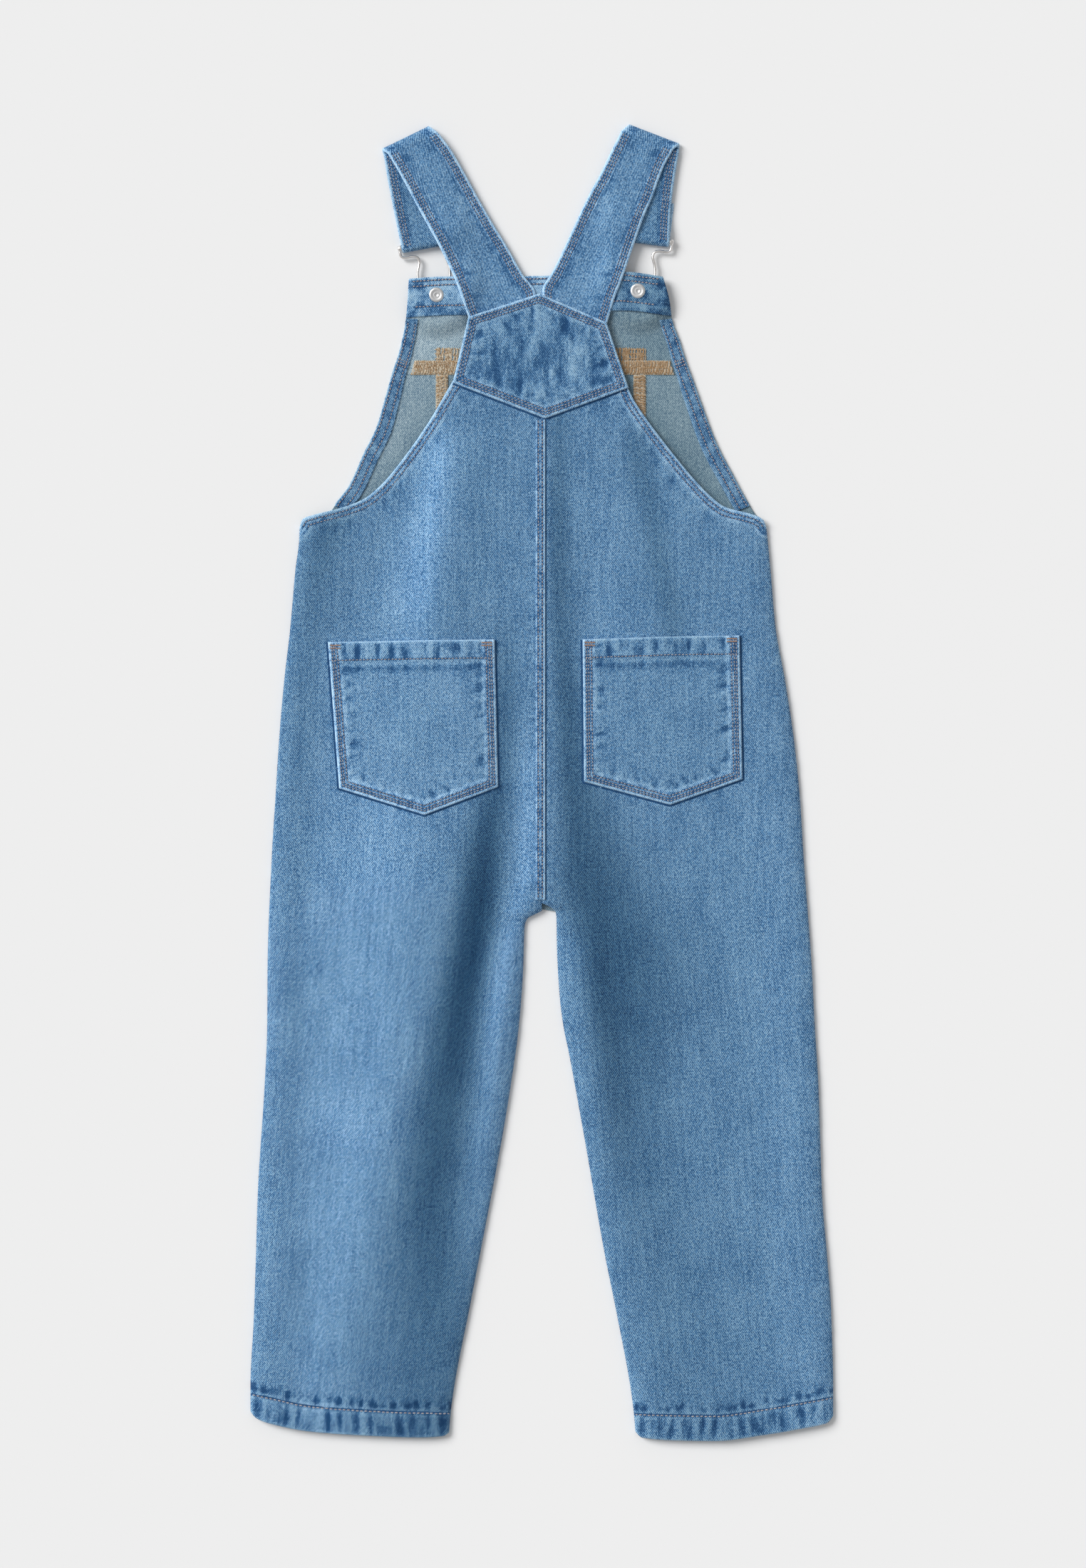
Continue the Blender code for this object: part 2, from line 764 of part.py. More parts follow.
def make_buttons():
    """Tack buttons beneath the bib and their rivet backs on its hem."""
    for side, centre in button_places().items():
        top = BIB_LIFT - GAP
        profile = [(0.0, 0.0), (BUTTON_R - 0.5, 0.0), (BUTTON_R, 0.5), (BUTTON_R - 0.3, BUTTON_HEAD - 0.2),
                   (SHANK_R + 1.6, BUTTON_HEAD), (SHANK_R, BUTTON_HEAD + 0.2), (SHANK_R, top), (0.0, top)]
        turned("tack_button_" + side, centre, profile, "metal")
        seat = highest_under(["bib_top_hem"], centre, RIVET_R) + GAP
        profile = [(0.0, seat), (RIVET_R, seat), (RIVET_R, seat + 0.3), (RIVET_R - 0.9, seat + RIVET_T),
                   (1.5, seat + RIVET_T - 0.2), (0.0, seat + RIVET_T - 0.5)]
        turned("rivet_back_" + side, centre, profile, "metal")


def wire_loop(side):
    """Points of a buckle's closed wire, in order round it."""
    loop = list(WIRE_PATH) + [(-a, d) for a, d in WIRE_PATH[-2:0:-1]]
    return [(*along_bar(side, a, d), WIRE_Z) for a, d in loop]


def make_buckles():
    """Each buckle is one bent wire: a bar in the strap's end and a loop round the button's shank."""
    sides = 8
    for side in ("left", "right"):
        loop = [Vector(p) for p in wire_loop(side)]
        count = len(loop)
        points, faces = [], []
        for i, here in enumerate(loop):
            ahead = (loop[(i + 1) % count] - loop[i - 1]).normalized()
            across = ahead.cross(Vector((0.0, 0.0, 1.0))).normalized()
            for k in range(sides):
                angle = 2.0 * math.pi * (k + 0.5) / sides
                points.append(tuple(here + across * WIRE_R * math.cos(angle)
                                    + Vector((0.0, 0.0, WIRE_R * math.sin(angle)))))
        for i in range(count):
            n = (i + 1) % count
            for k in range(sides):
                m = (k + 1) % sides
                faces.append((i * sides + k, i * sides + m, n * sides + m, n * sides + k))
        add_solid("buckle_wire_" + side, points, faces, "metal")


def across(row, share):
    """A place across a strap between its outer and inner edge."""
    x0, y0, x1, y1 = row
    return mix(x0, x1, share), mix(y0, y1, share)


def make_straps():
    """Each strap: up from the yoke, over the fold, down beneath itself and round the buckle's bar."""
    shares = (0.0, 0.25, 0.5, 0.75, 1.0)
    tables = {
        "left": (STRAP_LEFT_BACK, STRAP_LEFT_FRONT, STRAP_LEFT_CREST),
        "right": (STRAP_RIGHT_BACK, STRAP_RIGHT_FRONT, STRAP_RIGHT_CREST),
    }
    wrap_r = WIRE_R + GAP + STRAP / 2.0
    floor = STRAP / 2.0
    over_bar = WIRE_Z + wrap_r
    for side, (back, front, crest) in tables.items():
        away = bar_frame(side)[2]
        x0, y0, x1, y1 = front[-1]
        end = Vector((x0, y0, 0.0)), Vector((x1, y1, 0.0))
        down = Vector((away.x, away.y, 0.0))
        bar = tuple(p - down * (wrap_r + STRAP / 2.0) for p in end)

        # The front stretch from the fold down to the bar, as pairs of edge points with heights
        lower = [(Vector((row[0], row[1], 0.0)), Vector((row[2], row[3], 0.0))) for row in front[:-1]]
        stations = []
        for a, b in zip(lower, lower[1:] + [bar]):
            for t in (0.0, 0.5):
                stations.append((a[0].lerp(b[0], t), a[1].lerp(b[1], t)))
        stretch = []
        for pair in stations:
            distance = (bar[0] - pair[0]).dot(down)
            clear = STRAP + GAP
            z = floor + clear * ease((STRAP_RETURN + STRAP_CLIMB - distance) / (STRAP_CLIMB - 1.0))
            z = max(z, mix(over_bar, floor + clear, ease(distance / BAR_CLIMB)))
            stretch.append([(*pair[0].lerp(pair[1], s).xy, z) for s in shares])
        wrap = []
        for k in range(7):
            angle = math.pi * k / 6.0
            offset = down * (wrap_r * math.sin(angle))
            height = WIRE_Z + wrap_r * math.cos(angle)
            wrap.append([(*(bar[0].lerp(bar[1], s) + offset).xy, height) for s in shares])
        tail = []
        for length in (STRAP_RETURN / 2.0, STRAP_RETURN):
            tail.append([(*(bar[0].lerp(bar[1], s) - down * length).xy, WIRE_Z - wrap_r) for s in shares])
        front_rows = stretch + wrap + tail

        # The back stretch rests on the front stretch, the wire, the bib and its hem
        rest = [[(x, y, z - STRAP / 2.0) for x, y, z in row] for row in stretch]
        sheet("strap_seat", rest, raised(rest, STRAP), "denim")
        over_front = 2.0 * STRAP_FOLD_R
        back_rows = []
        for a, b in zip(back, back[1:]):
            for t in (0.0, 0.34, 0.67):
                row = [mix(p, q, t) for p, q in zip(a, b)]
                back_rows.append([(*across(row, s), over_front) for s in shares])
        back_rows.append([(*across(back[-1], s), over_front) for s in shares])
        seats = ["strap_seat", "bib", "bib_top_hem", "buckle_wire_" + side, "rivet_back_" + side]
        back_rows = lay(back_rows, seats, gap=GAP + 0.1)
        back_rows = smooth_rows(back_rows, 3)
        back_rows = lay(back_rows, seats, gap=GAP + 0.1)
        back_rows = [[(x, y, z + STRAP / 2.0) for x, y, z in row] for row in back_rows]

        # The fold at the top
        fold_z = floor + STRAP_FOLD_R
        fold = []
        for k in range(1, 6):
            angle = math.pi * k / 6.0
            height = fold_z + STRAP_FOLD_R * math.cos(angle)
            row = []
            for s in shares:
                x_c, y_c = across(crest, s)
                start = back[-1] if k <= 3 else front[0]
                x_s, y_s = across(start, s)
                reach = math.sin(angle)
                row.append((mix(x_s, x_c, reach), mix(y_s, y_c, reach), height))
            fold.append(row)
        bpy.data.objects.remove(bpy.data.objects["strap_seat"], do_unlink=True)
        rows = back_rows + fold + front_rows
        thick_sheet("strap_" + side, rows, STRAP, "denim")


def smooth_rows(grid, rounds):
    """Evens the heights along a grid's columns."""
    for _ in range(rounds):
        kept = [[list(p) for p in row] for row in grid]
        for i in range(1, len(grid) - 1):
            for j in range(len(grid[0])):
                kept[i][j][2] = (grid[i - 1][j][2] + 2.0 * grid[i][j][2] + grid[i + 1][j][2]) / 4.0
        grid = kept
    return grid


def thick_sheet(name, rows, wall, slot):
    """A wall of even thickness about a grid of middle points, which may fold over."""
    middle = [[Vector(p) for p in row] for row in rows]
    lower, upper = [], []
    flip = None
    for i, row in enumerate(middle):
        before, after = middle[max(i - 1, 0)], middle[min(i + 1, len(middle) - 1)]
        side = (row[-1] - row[0]).normalized()
        normals = []
        for j in range(len(row)):
            ahead = after[j] - before[j]
            normals.append(side.cross(ahead).normalized())
        if flip is None:
            flip = 1.0 if sum(normals, Vector()).z > 0.0 else -1.0
        lower.append([tuple(p - n * flip * wall / 2.0) for p, n in zip(row, normals)])
        upper.append([tuple(p + n * flip * wall / 2.0) for p, n in zip(row, normals)])
    return sheet(name, lower, upper, slot)


def back_height(side, x, y):
    """Height of the back's outer face over the folds, before its side edges round down."""
    armhole = BACK_ARMHOLE_LEFT if side == "left" else BACK_ARMHOLE_RIGHT
    full = BACK_HEIGHT + fold_height(x, y)
    below = max(read(armhole, x) - y, 0.0)
    height = mix(ARMHOLE_HEIGHT, full, 1.0 - math.exp(-below / ARMHOLE_FADE))
    return mix(HEM_HEIGHT, height, ease((y - HEM_FLAT) / HEM_FADE))


def side_distance(side, x, y):
    """Distance of a place from the nearest rounded edge of its half of the back."""
    if side == "left":
        outer = x - read(SIDES, y, 1)
        inner = read(LEFT_INSEAM, y) - x
    else:
        outer = read(SIDES, y, 2) - x
        inner = x - read(RIGHT_INSEAM, y)
    outer = max(outer, 0.0) + max(y - SIDE_TOP, 0.0)
    inner = max(inner, 0.0) + max(y - CROTCH, 0.0)
    return min(outer, inner)


def back_grid(side):
    """Places of a back panel's grid, rows from the hem up to the armhole edge."""
    column = 1 if side == "left" else 2
    inseam = LEFT_INSEAM if side == "left" else RIGHT_INSEAM
    hem = LEFT_HEM if side == "left" else RIGHT_HEM
    armhole = BACK_ARMHOLE_LEFT if side == "left" else BACK_ARMHOLE_RIGHT
    corner, centre = armhole[0][0], armhole[-1][0]
    rows = []
    flat_end = LEG_ROWS[-1]
    for y in LEG_ROWS[::-1]:
        bow = ease((HEM_BOW_START - y) / (HEM_BOW_START - flat_end))
        row = []
        for share in PANEL_COLUMNS:
            x = mix(read(SIDES, y, column), read(inseam, y), share)
            row.append((x, y + bow * (read(hem, share) - flat_end)))
        rows.append(row)
    for height in TORSO_ROWS:
        row = []
        for share in PANEL_COLUMNS:
            x_top = mix(corner, centre, share)
            y = mix(LEG_TOP, read(armhole, x_top), height)
            side_y = mix(LEG_TOP, SIDE_TOP, height)
            row.append((mix(read(SIDES, side_y, column), centre, share), y))
        rows.append(row)
    return rows if side == "left" else [row[::-1] for row in rows]


def make_backs():
    """The two back panels, arched over the fronts, with side edges that round down onto them."""
    base = CLOTH + GAP
    for side in ("left", "right"):
        lower, upper = [], []
        for row in back_grid(side):
            low_row, high_row = [], []
            for x, y in row:
                full = back_height(side, x, y)
                distance = side_distance(side, x, y)
                rise = math.exp(-distance / SIDE_ROUND)
                high = mix(full, SIDE_EDGE, rise)
                slope = (full - SIDE_EDGE) / SIDE_ROUND * rise
                low = max(base, high - CLOTH * math.hypot(1.0, slope))
                low_row.append((x, y, low))
                high_row.append((x, y, high))
            lower.append(low_row)
            upper.append(high_row)
        sheet("back_" + side, lower, upper, "denim")


def make_armhole_hems():
    """Hems turned in along the back's armhole edges."""
    for side, armhole in (("left", BACK_ARMHOLE_LEFT), ("right", BACK_ARMHOLE_RIGHT)):
        start = armhole[0][0]
        first, last = start - math.copysign(ARMHOLE_HEM_INSET, start), armhole[-4][0]
        grid = []
        count = 14
        for i in range(count + 1):
            x = mix(first, last, i / count)
            y = read(armhole, x)
            slope = read(armhole, x + 0.4) - read(armhole, x - 0.4)
            inward = Vector((slope, -0.8)).normalized()
            row = []
            for depth in (ARMHOLE_HEM, ARMHOLE_HEM / 2.0, ARMHOLE_HEM_EDGE):
                place = Vector((x, y)) + inward * depth
                row.append((place.x, place.y))
            grid.append(row)
        upper = tuck(grid, ["back_" + side])
        sheet("armhole_hem_" + side, raised(upper, -TRIM), upper, "denim")


def make_leg_hems():
    """Hems turned in at the legs' ends, one strip inside the back and one inside the front."""
    legs = (("left", LEFT_HEM, LEFT_INSEAM, 1), ("right", RIGHT_HEM, RIGHT_INSEAM, 2))
    for side, hem, inseam, column in legs:
        grid = []
        for depth in (LEG_HEM_EDGE, LEG_HEM / 2.0, LEG_HEM):
            row = []
            for k in range(11):
                outer, inner = read(SIDES, hem[0][1], column), read(inseam, hem[0][1])
                inset = LEG_HEM_INSET / abs(inner - outer)
                share = mix(inset, 1.0 - inset, k / 10.0)
                row.append((mix(outer, inner, share), read(hem, share) + depth))
            grid.append(row if side == "left" else row[::-1])
        front = [[(x, y, CLOTH + GAP) for x, y in row] for row in grid]
        sheet("leg_hem_front_" + side, front, raised(front, TRIM), "denim_inside")
        upper = tuck(grid, ["back_" + side])
        sheet("leg_hem_back_" + side, raised(upper, -TRIM), upper, "denim_inside")


def patch_grid(table, columns, rows):
    """A grid between two edges given with the same shares of the width, first edge first."""
    grid = []
    for i in range(rows + 1):
        row = []
        for j in range(columns + 1):
            share = j / columns
            ends = [straight(table, share, k) for k in (1, 2, 3, 4)]
            row.append((mix(ends[0], ends[2], i / rows), mix(ends[1], ends[3], i / rows)))
        grid.append(row)
    return grid


def straight(table, share, column):
    """The value of a column at a share, on straight lines between the table's rows."""
    for low, high in zip(table, table[1:]):
        if share <= high[0]:
            return mix(low[column], high[column], (share - low[0]) / (high[0] - low[0]))
    return table[-1][column]


def make_pockets():
    """Patch pockets with a pointed bottom, laid on the back panels."""
    for side, table in (("left", POCKET_LEFT), ("right", POCKET_RIGHT)):
        grid = patch_grid(table, 10, 10)[::-1]
        grid = [[(x, y, 0.0) for x, y in row] for row in grid]
        grid = lay(grid, ["back_" + side])
        sheet("pocket_" + side, grid, raised(grid, CLOTH), "denim")


def make_centre_seam():
    """The felled seam down the middle of the back."""
    count = 20
    grid = []
    for i in range(count + 1):
        y = mix(CENTRE_SEAM_END, CENTRE_SEAM_TOP, i / count)
        middle = (CENTRE_SEAM_LEFT + CENTRE_SEAM_RIGHT) / 2.0
        grid.append([(CENTRE_SEAM_LEFT, y, 0.0), (middle, y, 0.0), (CENTRE_SEAM_RIGHT, y, 0.0)])
    grid = lay(grid, ["back_left", "back_right"])
    sheet("centre_back_seam", grid, raised(grid, TRIM), "denim")


def make_yoke():
    """The five-sided back yoke, over the straps' ends and the tops of the back panels."""
    grid = []
    for row in patch_grid(YOKE, 12, 9):
        grid.append([(x, y, CLOTH + LOFT) for x, y in row])
    seats = ["back_left", "back_right", "strap_left", "strap_right", "bib", "bib_top_hem"]
    grid = lay(grid, seats, gap=GAP + 0.05)
    sheet("yoke", grid, raised(grid, CLOTH), "denim")


def main():
    """Builds the garment from the floor up."""
    remove_everything()
    make_fronts()
    make_bib()
    make_bib_hem()
    make_armhole_facings()
    make_inside_seams()
    make_buttons()
    make_buckles()
    make_straps()
    make_backs()
    make_armhole_hems()
    make_leg_hems()
    make_pockets()
    make_centre_seam()
    make_yoke()


main()
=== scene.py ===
"""Looks of a child's denim bib overalls, laid flat on their front with the back up.

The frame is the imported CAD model: metres, +Z up and the floor at z = 0. +Y runs from the leg hems to the
straps and +X to the right of someone who looks down on the back. Sizes below are in millimetres, in the
frame of the part's source, whose origin lies MIDDLE_Y below the middle of the garment.
"""

import math

import bpy
import numpy as np
from bpy.props import FloatProperty, FloatVectorProperty, PointerProperty
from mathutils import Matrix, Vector
from mathutils.bvhtree import BVHTree


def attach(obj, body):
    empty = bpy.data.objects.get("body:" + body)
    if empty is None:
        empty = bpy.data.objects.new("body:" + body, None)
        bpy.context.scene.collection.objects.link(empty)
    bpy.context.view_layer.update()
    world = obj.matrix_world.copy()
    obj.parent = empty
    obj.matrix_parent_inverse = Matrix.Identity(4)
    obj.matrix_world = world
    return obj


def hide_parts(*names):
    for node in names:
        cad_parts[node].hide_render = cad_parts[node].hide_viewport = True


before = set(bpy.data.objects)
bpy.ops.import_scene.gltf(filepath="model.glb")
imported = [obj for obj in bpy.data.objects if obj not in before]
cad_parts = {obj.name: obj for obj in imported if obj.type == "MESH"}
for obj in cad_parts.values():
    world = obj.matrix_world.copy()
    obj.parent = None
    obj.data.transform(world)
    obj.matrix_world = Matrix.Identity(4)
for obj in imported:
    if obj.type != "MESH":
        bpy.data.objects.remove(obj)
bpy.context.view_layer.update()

bl_info = {
    "name": "Denim overalls",
    "version": (1, 0, 0),
    "blender": (4, 5, 0),
    "location": "3D View > Sidebar > Overalls",
    "description": "Cloth, stitching and metal of a child's denim overalls, laid flat",
    "category": "Object",
}

MM = 0.001
MIDDLE_Y = 0.48
BODY = "root"

# Cloth and layers, as in the part's source
CLOTH = 1.2
TRIM = 1.0
STRAP = 1.6
GAP = 0.3
LOFT = 3.6
FRONT_INSET = 1.0
FRONT_EDGE = 0.4
SIDE_EDGE = 2.9
SIDE_ROUND = 6.0
BACK_HEIGHT = CLOTH + LOFT + CLOTH
ARMHOLE_HEIGHT = 5.4
HEM_HEIGHT = 5.8
ARMHOLE_FADE = 16.0
HEM_FLAT = -400.0
HEM_FADE = 45.0
HEM_BOW_START = -330.0
LAP = 0.12          # how far a sewn piece lies above the cloth under it
RIDE = 0.02         # how far the lowest thread lies above the floor
LEG_TOP = -60.0
LEG_BOTTOM = -398.0
CROTCH = -79.0
WAIST_SEAM = 252.0
SIDE_TOP = 158.2

# Metal
WIRE_R = 1.1
WIRE_LOOK = 0.88
WIRE_Z = STRAP + GAP + WIRE_R
BUTTON_R = 8.5
SHANK_R = 2.4
BUTTON_HEAD = 1.6
RIVET_R = 4.6
BIB_LIFT = WIRE_Z + WIRE_R + GAP
LIFT_FLAT = 16.5
LIFT_FADE = 12.0
BAR_TO_BUTTON = 32.4
BUTTON_OUTWARD = 2.2

# Outline of the body below the armholes
SIDES = (
    # y, left, right
    (158.2, -149.4, 138.4), (149, -149.8, 139.4), (131.8, -152, 141), (96.6, -155.1, 144.1),
    (61.4, -159.1, 150.3), (26.2, -162.1, 155.5), (-9, -164.3, 159.1), (-44.2, -166.5, 161.3),
    (-114.6, -169.2, 166.5), (-149.8, -169.4, 168.3), (-185, -170.9, 170.5),
    (-255.4, -175.3, 172.9), (-290.6, -176.3, 175.8), (-325.8, -177.5, 178.4),
    (-383, -179.7, 179.7), (-406, -179.7, 179.7),
)

# Inner edges of the legs, from the crotch to the hems
LEFT_INSEAM = (
    # y, x
    (-79, -0.15), (-81, -4), (-84, -9.3), (-89, -10.8), (-114.6, -11.7), (-149.8, -14.3),
    (-185, -19.1), (-220.2, -24.9), (-255.4, -31.5), (-325.8, -45.1), (-383, -56.1), (-406, -58),
)
RIGHT_INSEAM = (
    # y, x
    (-74, 0.15), (-76.5, 5), (-79.5, 8.6), (-84, 9.2), (-99.7, 9.4), (-132.2, 11.2), (-149.8, 13.4),
    (-167, 16.9), (-220.2, 26.6), (-290.6, 38.9), (-325.8, 46), (-383, 56.5), (-406, 58.5),
)

# Hem lines of the legs, from the outer side to the inner side of each leg
LEFT_HEM = (
    # share of the width, y
    (0, -388), (0.03, -391.6), (0.10, -394.8), (0.30, -399.6), (0.55, -401.9), (0.85, -403.3),
    (0.97, -402.6), (1, -400.6),
)
RIGHT_HEM = (
    # share of the width, y
    (0, -390.5), (0.03, -394.4), (0.15, -397.6), (0.35, -401.7), (0.60, -405.4), (0.80, -405),
    (0.97, -403.4), (1, -400.2),
)

# Armhole edges of the back, from the side seam up to the yoke
BACK_ARMHOLE_LEFT = (
    # x, y
    (-149.4, 158.2), (-147.2, 162.6), (-141, 164.8), (-124, 169.2), (-110.2, 174.5), (-99.7, 182.8),
    (-84.3, 201.3), (-70.2, 221.5), (-62.3, 234.7), (-56.5, 244.8), (-52, 251), (-40, 250),
    (-0.15, 240),
)
BACK_ARMHOLE_RIGHT = (
    # x, y
    (138.4, 158.2), (136.4, 162), (131, 164.8), (113, 169.8), (104.6, 176), (92.6, 188.5),
    (80.7, 203), (67.1, 220.6), (57, 235.4), (53.6, 242), (50.2, 248.6), (40, 250), (0.15, 240),
)

# Armhole edges of the front and bib, from the side seam up to the bib's top corner
FRONT_ARMHOLE_LEFT = (
    # y, x
    (158.2, -149.4), (163, -141), (167.4, -130.9), (173.6, -126.5), (182.8, -119.5),
    (203.1, -110.2), (219.3, -102.3), (238.7, -96.6), (254.1, -92.2), (265.5, -88.4),
    (284.5, -84.3), (297.2, -82.9), (310.4, -82.2),
)
FRONT_ARMHOLE_RIGHT = (
    # y, x
    (158.2, 138.4), (162.5, 135), (166.1, 131.8), (172.3, 127.8), (188.5, 119), (210.5, 107.6),
    (233.9, 98.8), (246.2, 94.4), (263.3, 88.2), (271.7, 85.6), (286.7, 80.3), (295.9, 79),
    (311.7, 74.6),
)
BIB_TOP = (
    # x, y
    (-82.2, 310.4), (-60, 311.7), (0, 312.6), (50.4, 314.6), (74.6, 311.7),
)
BIB_CORNER = 311.0
BIB_HEM_DEPTH = 23.5
FACING_WIDTHS = (
    # y, width of the armhole facings
    (170, 9), (203, 9.5), (238.7, 9), (254, 8.2), (290, 7),
)
FACING_BOTTOM = 171.0
FACING_BELOW_HEM = 1.4

# Seam strips that show inside
WAIST_STRIP = 8.4
WAIST_STRIP_BOTTOM = (-81.0, 81.6)
WAIST_STRIP_TOP = (-78.4, 78.4)
FRONT_SEAMS = {"left": -61.6, "right": 60.3}
FRONT_SEAM_WIDTH = 7.4
FRONT_SEAM_END = 150.0

# The yoke, its top and bottom edges with the same share of the width
YOKE = (
    # share, x and y of the bottom edge, x and y of the top edge
    (0, -54.8, 246.6, -45.1, 287.1), (0.5, 2, 224.6, -1.5, 301.4), (1, 53.2, 243.5, 39.8, 283.6),
)
ARMHOLE_HEM = 6.4
ARMHOLE_HEM_EDGE = 0.5
ARMHOLE_HEM_INSET = 14.0
CENTRE_SEAM = (-3.7, 2.0)
CENTRE_SEAM_TOP = 223.6
CENTRE_SEAM_END = -72.0

# Pockets, each edge with the same share of the width
POCKETS = {
    # share, x and y of the top edge, x and y of the bottom edge
    "left": (
        (0, -131.6, 86.5, -124.7, -3.3), (0.536, -76.8, 87.6, -72.4, -19.6),
        (1, -29.3, 88.2, -27.1, -2.4),
    ),
    "right": (
        (0, 25.3, 88.2, 26.2, 0.7), (0.543, 77.5, 90, 79, -13.4), (1, 121.6, 90.6, 123.4, 2.4),
    ),
}
POCKET_HEM = 12.6
MOUTH_ROW = 1.4     # the row of stitches, above the hem's raw edge

# Leg hems, turned in
LEG_HEM = 15.0
LEG_HEM_INSET = 9.0
LEG_HEM_EDGE = 1.2

# Folds of the back, each running down the garment
FOLDS = (
    # x and y of its top, x and y of its bottom, widths to the left and right, height
    (-57, 225, -66, 70, 13, 22, 1.2), (-27, 120, -27, -20, 16, 16, -0.9),
    (2, 215, 3, -30, 16, 14, 0.9), (3, 30, 0, -90, 17, 26, 1.3), (52, 210, 62, 90, 16, 16, -0.7),
    (-27.5, -10, -54, -320, 15, 15, -1.6), (-55, 10, -108, -360, 40, 24, 1.4),
    (-18.5, -80, -36, -260, 8, 9, 1.1), (17, -70, 42, -250, 10, 16, 1),
    (38, -20, 62, -270, 14, 26, -1.2),
)
FOLD_TAPER = 0.3
FOLD_STRENGTH = 1.5

# Small creases of the back, of the same columns as the folds
CREASES = (
    (-118, 150, -132, 96, 5, 7, 0.35), (-96, 176, -104, 112, 5, 6, -0.30),
    (-84, 60, -92, -6, 6, 9, 0.28), (24, 196, 22, 96, 5, 6, 0.30), (82, 176, 96, 100, 6, 6, 0.34),
    (104, 160, 118, 98, 5, 6, -0.28), (112, -20, 126, -130, 8, 10, 0.30),
    (-132, -30, -140, -190, 8, 8, 0.32), (-96, -90, -112, -250, 9, 7, -0.30),
    (92, -110, 108, -290, 9, 11, 0.34), (132, -170, 146, -330, 8, 8, -0.30),
    (-150, -210, -158, -350, 6, 8, 0.30), (64, -290, 70, -385, 7, 8, 0.34),
    (-84, -280, -92, -388, 8, 7, 0.32),
)

# Buckle wire, half of it from the middle of its bar to the far end of its loop
WIRE_PATH = (
    # along the bar, away from the strap
    (0, 0), (17.6, 0), (19, 0.5), (19.5, 1.9), (19.4, 4.4), (18.2, 5.8), (16, 6.2), (12.4, 6.2),
    (9.6, 7.2), (8.4, 9.6), (8.9, 12.6), (9.9, 16.4), (9.9, 21.5), (8.6, 27.5), (6.3, 32.8),
    (3.5, 36.2), (0, 37.4),
)

# Straps: the back stretch from the yoke up to the fold, then the front stretch down to the buckle
STRAP_BACK = {
    # x and y of the outer edge, x and y of the inner edge
    "left": (
        (-42.3, 280, -3.6, 293.6), (-45.1, 287.1, -4.2, 302.1), (-48.6, 296.8, -12.1, 313.5),
        (-53.9, 311.3, -21.3, 329.8), (-62.7, 329.8, -31.5, 346.5), (-70.6, 344.3, -39.8, 361),
        (-79.4, 360.6, -48.2, 376.4), (-88.2, 376.9, -56.5, 390.5), (-94.4, 387.4, -64.5, 401),
    ),
    "right": (
        (38, 276.6, 1, 293), (41.1, 287.1, 0.6, 303.4), (45.1, 299.9, 6.8, 315.3),
        (48.6, 308.7, 11.7, 325), (55.7, 329.3, 20, 343), (63.1, 350, 30.1, 364.1),
        (67.5, 360.1, 35.4, 373.8), (75, 380, 44.2, 391.8), (80.7, 390.4, 49.1, 401.6),
    ),
}
STRAP_FRONT = {
    # x and y of the outer edge, x and y of the inner edge
    "left": (
        (-97.2, 386.6, -66.6, 400.4), (-94.8, 371.6, -60.9, 380.4), (-92.6, 360.6, -57.9, 367.6),
        (-90, 347.4, -55.2, 354), (-87.3, 334.6, -52.6, 341), (-85.6, 326.7, -50.6, 333.1),
    ),
    "right": (
        (84.4, 389.6, 51.9, 400.6), (82.1, 375.5, 47.3, 381.7), (80.3, 362.8, 45.1, 368.5),
        (79, 350, 43.8, 354.6), (78.5, 338.6, 43.3, 342.8), (78.1, 330.4, 42.7, 334.6),
    ),
}
STRAP_CREST = {"left": (-98.3, 390.5, -69.3, 404.6), "right": (84.7, 393.6, 53.5, 405.6)}
STRAP_RETURN = 24.0
STRAP_CLIMB = 12.0
BAR_CLIMB = 17.0
STRAP_FOLD_R = 1.2

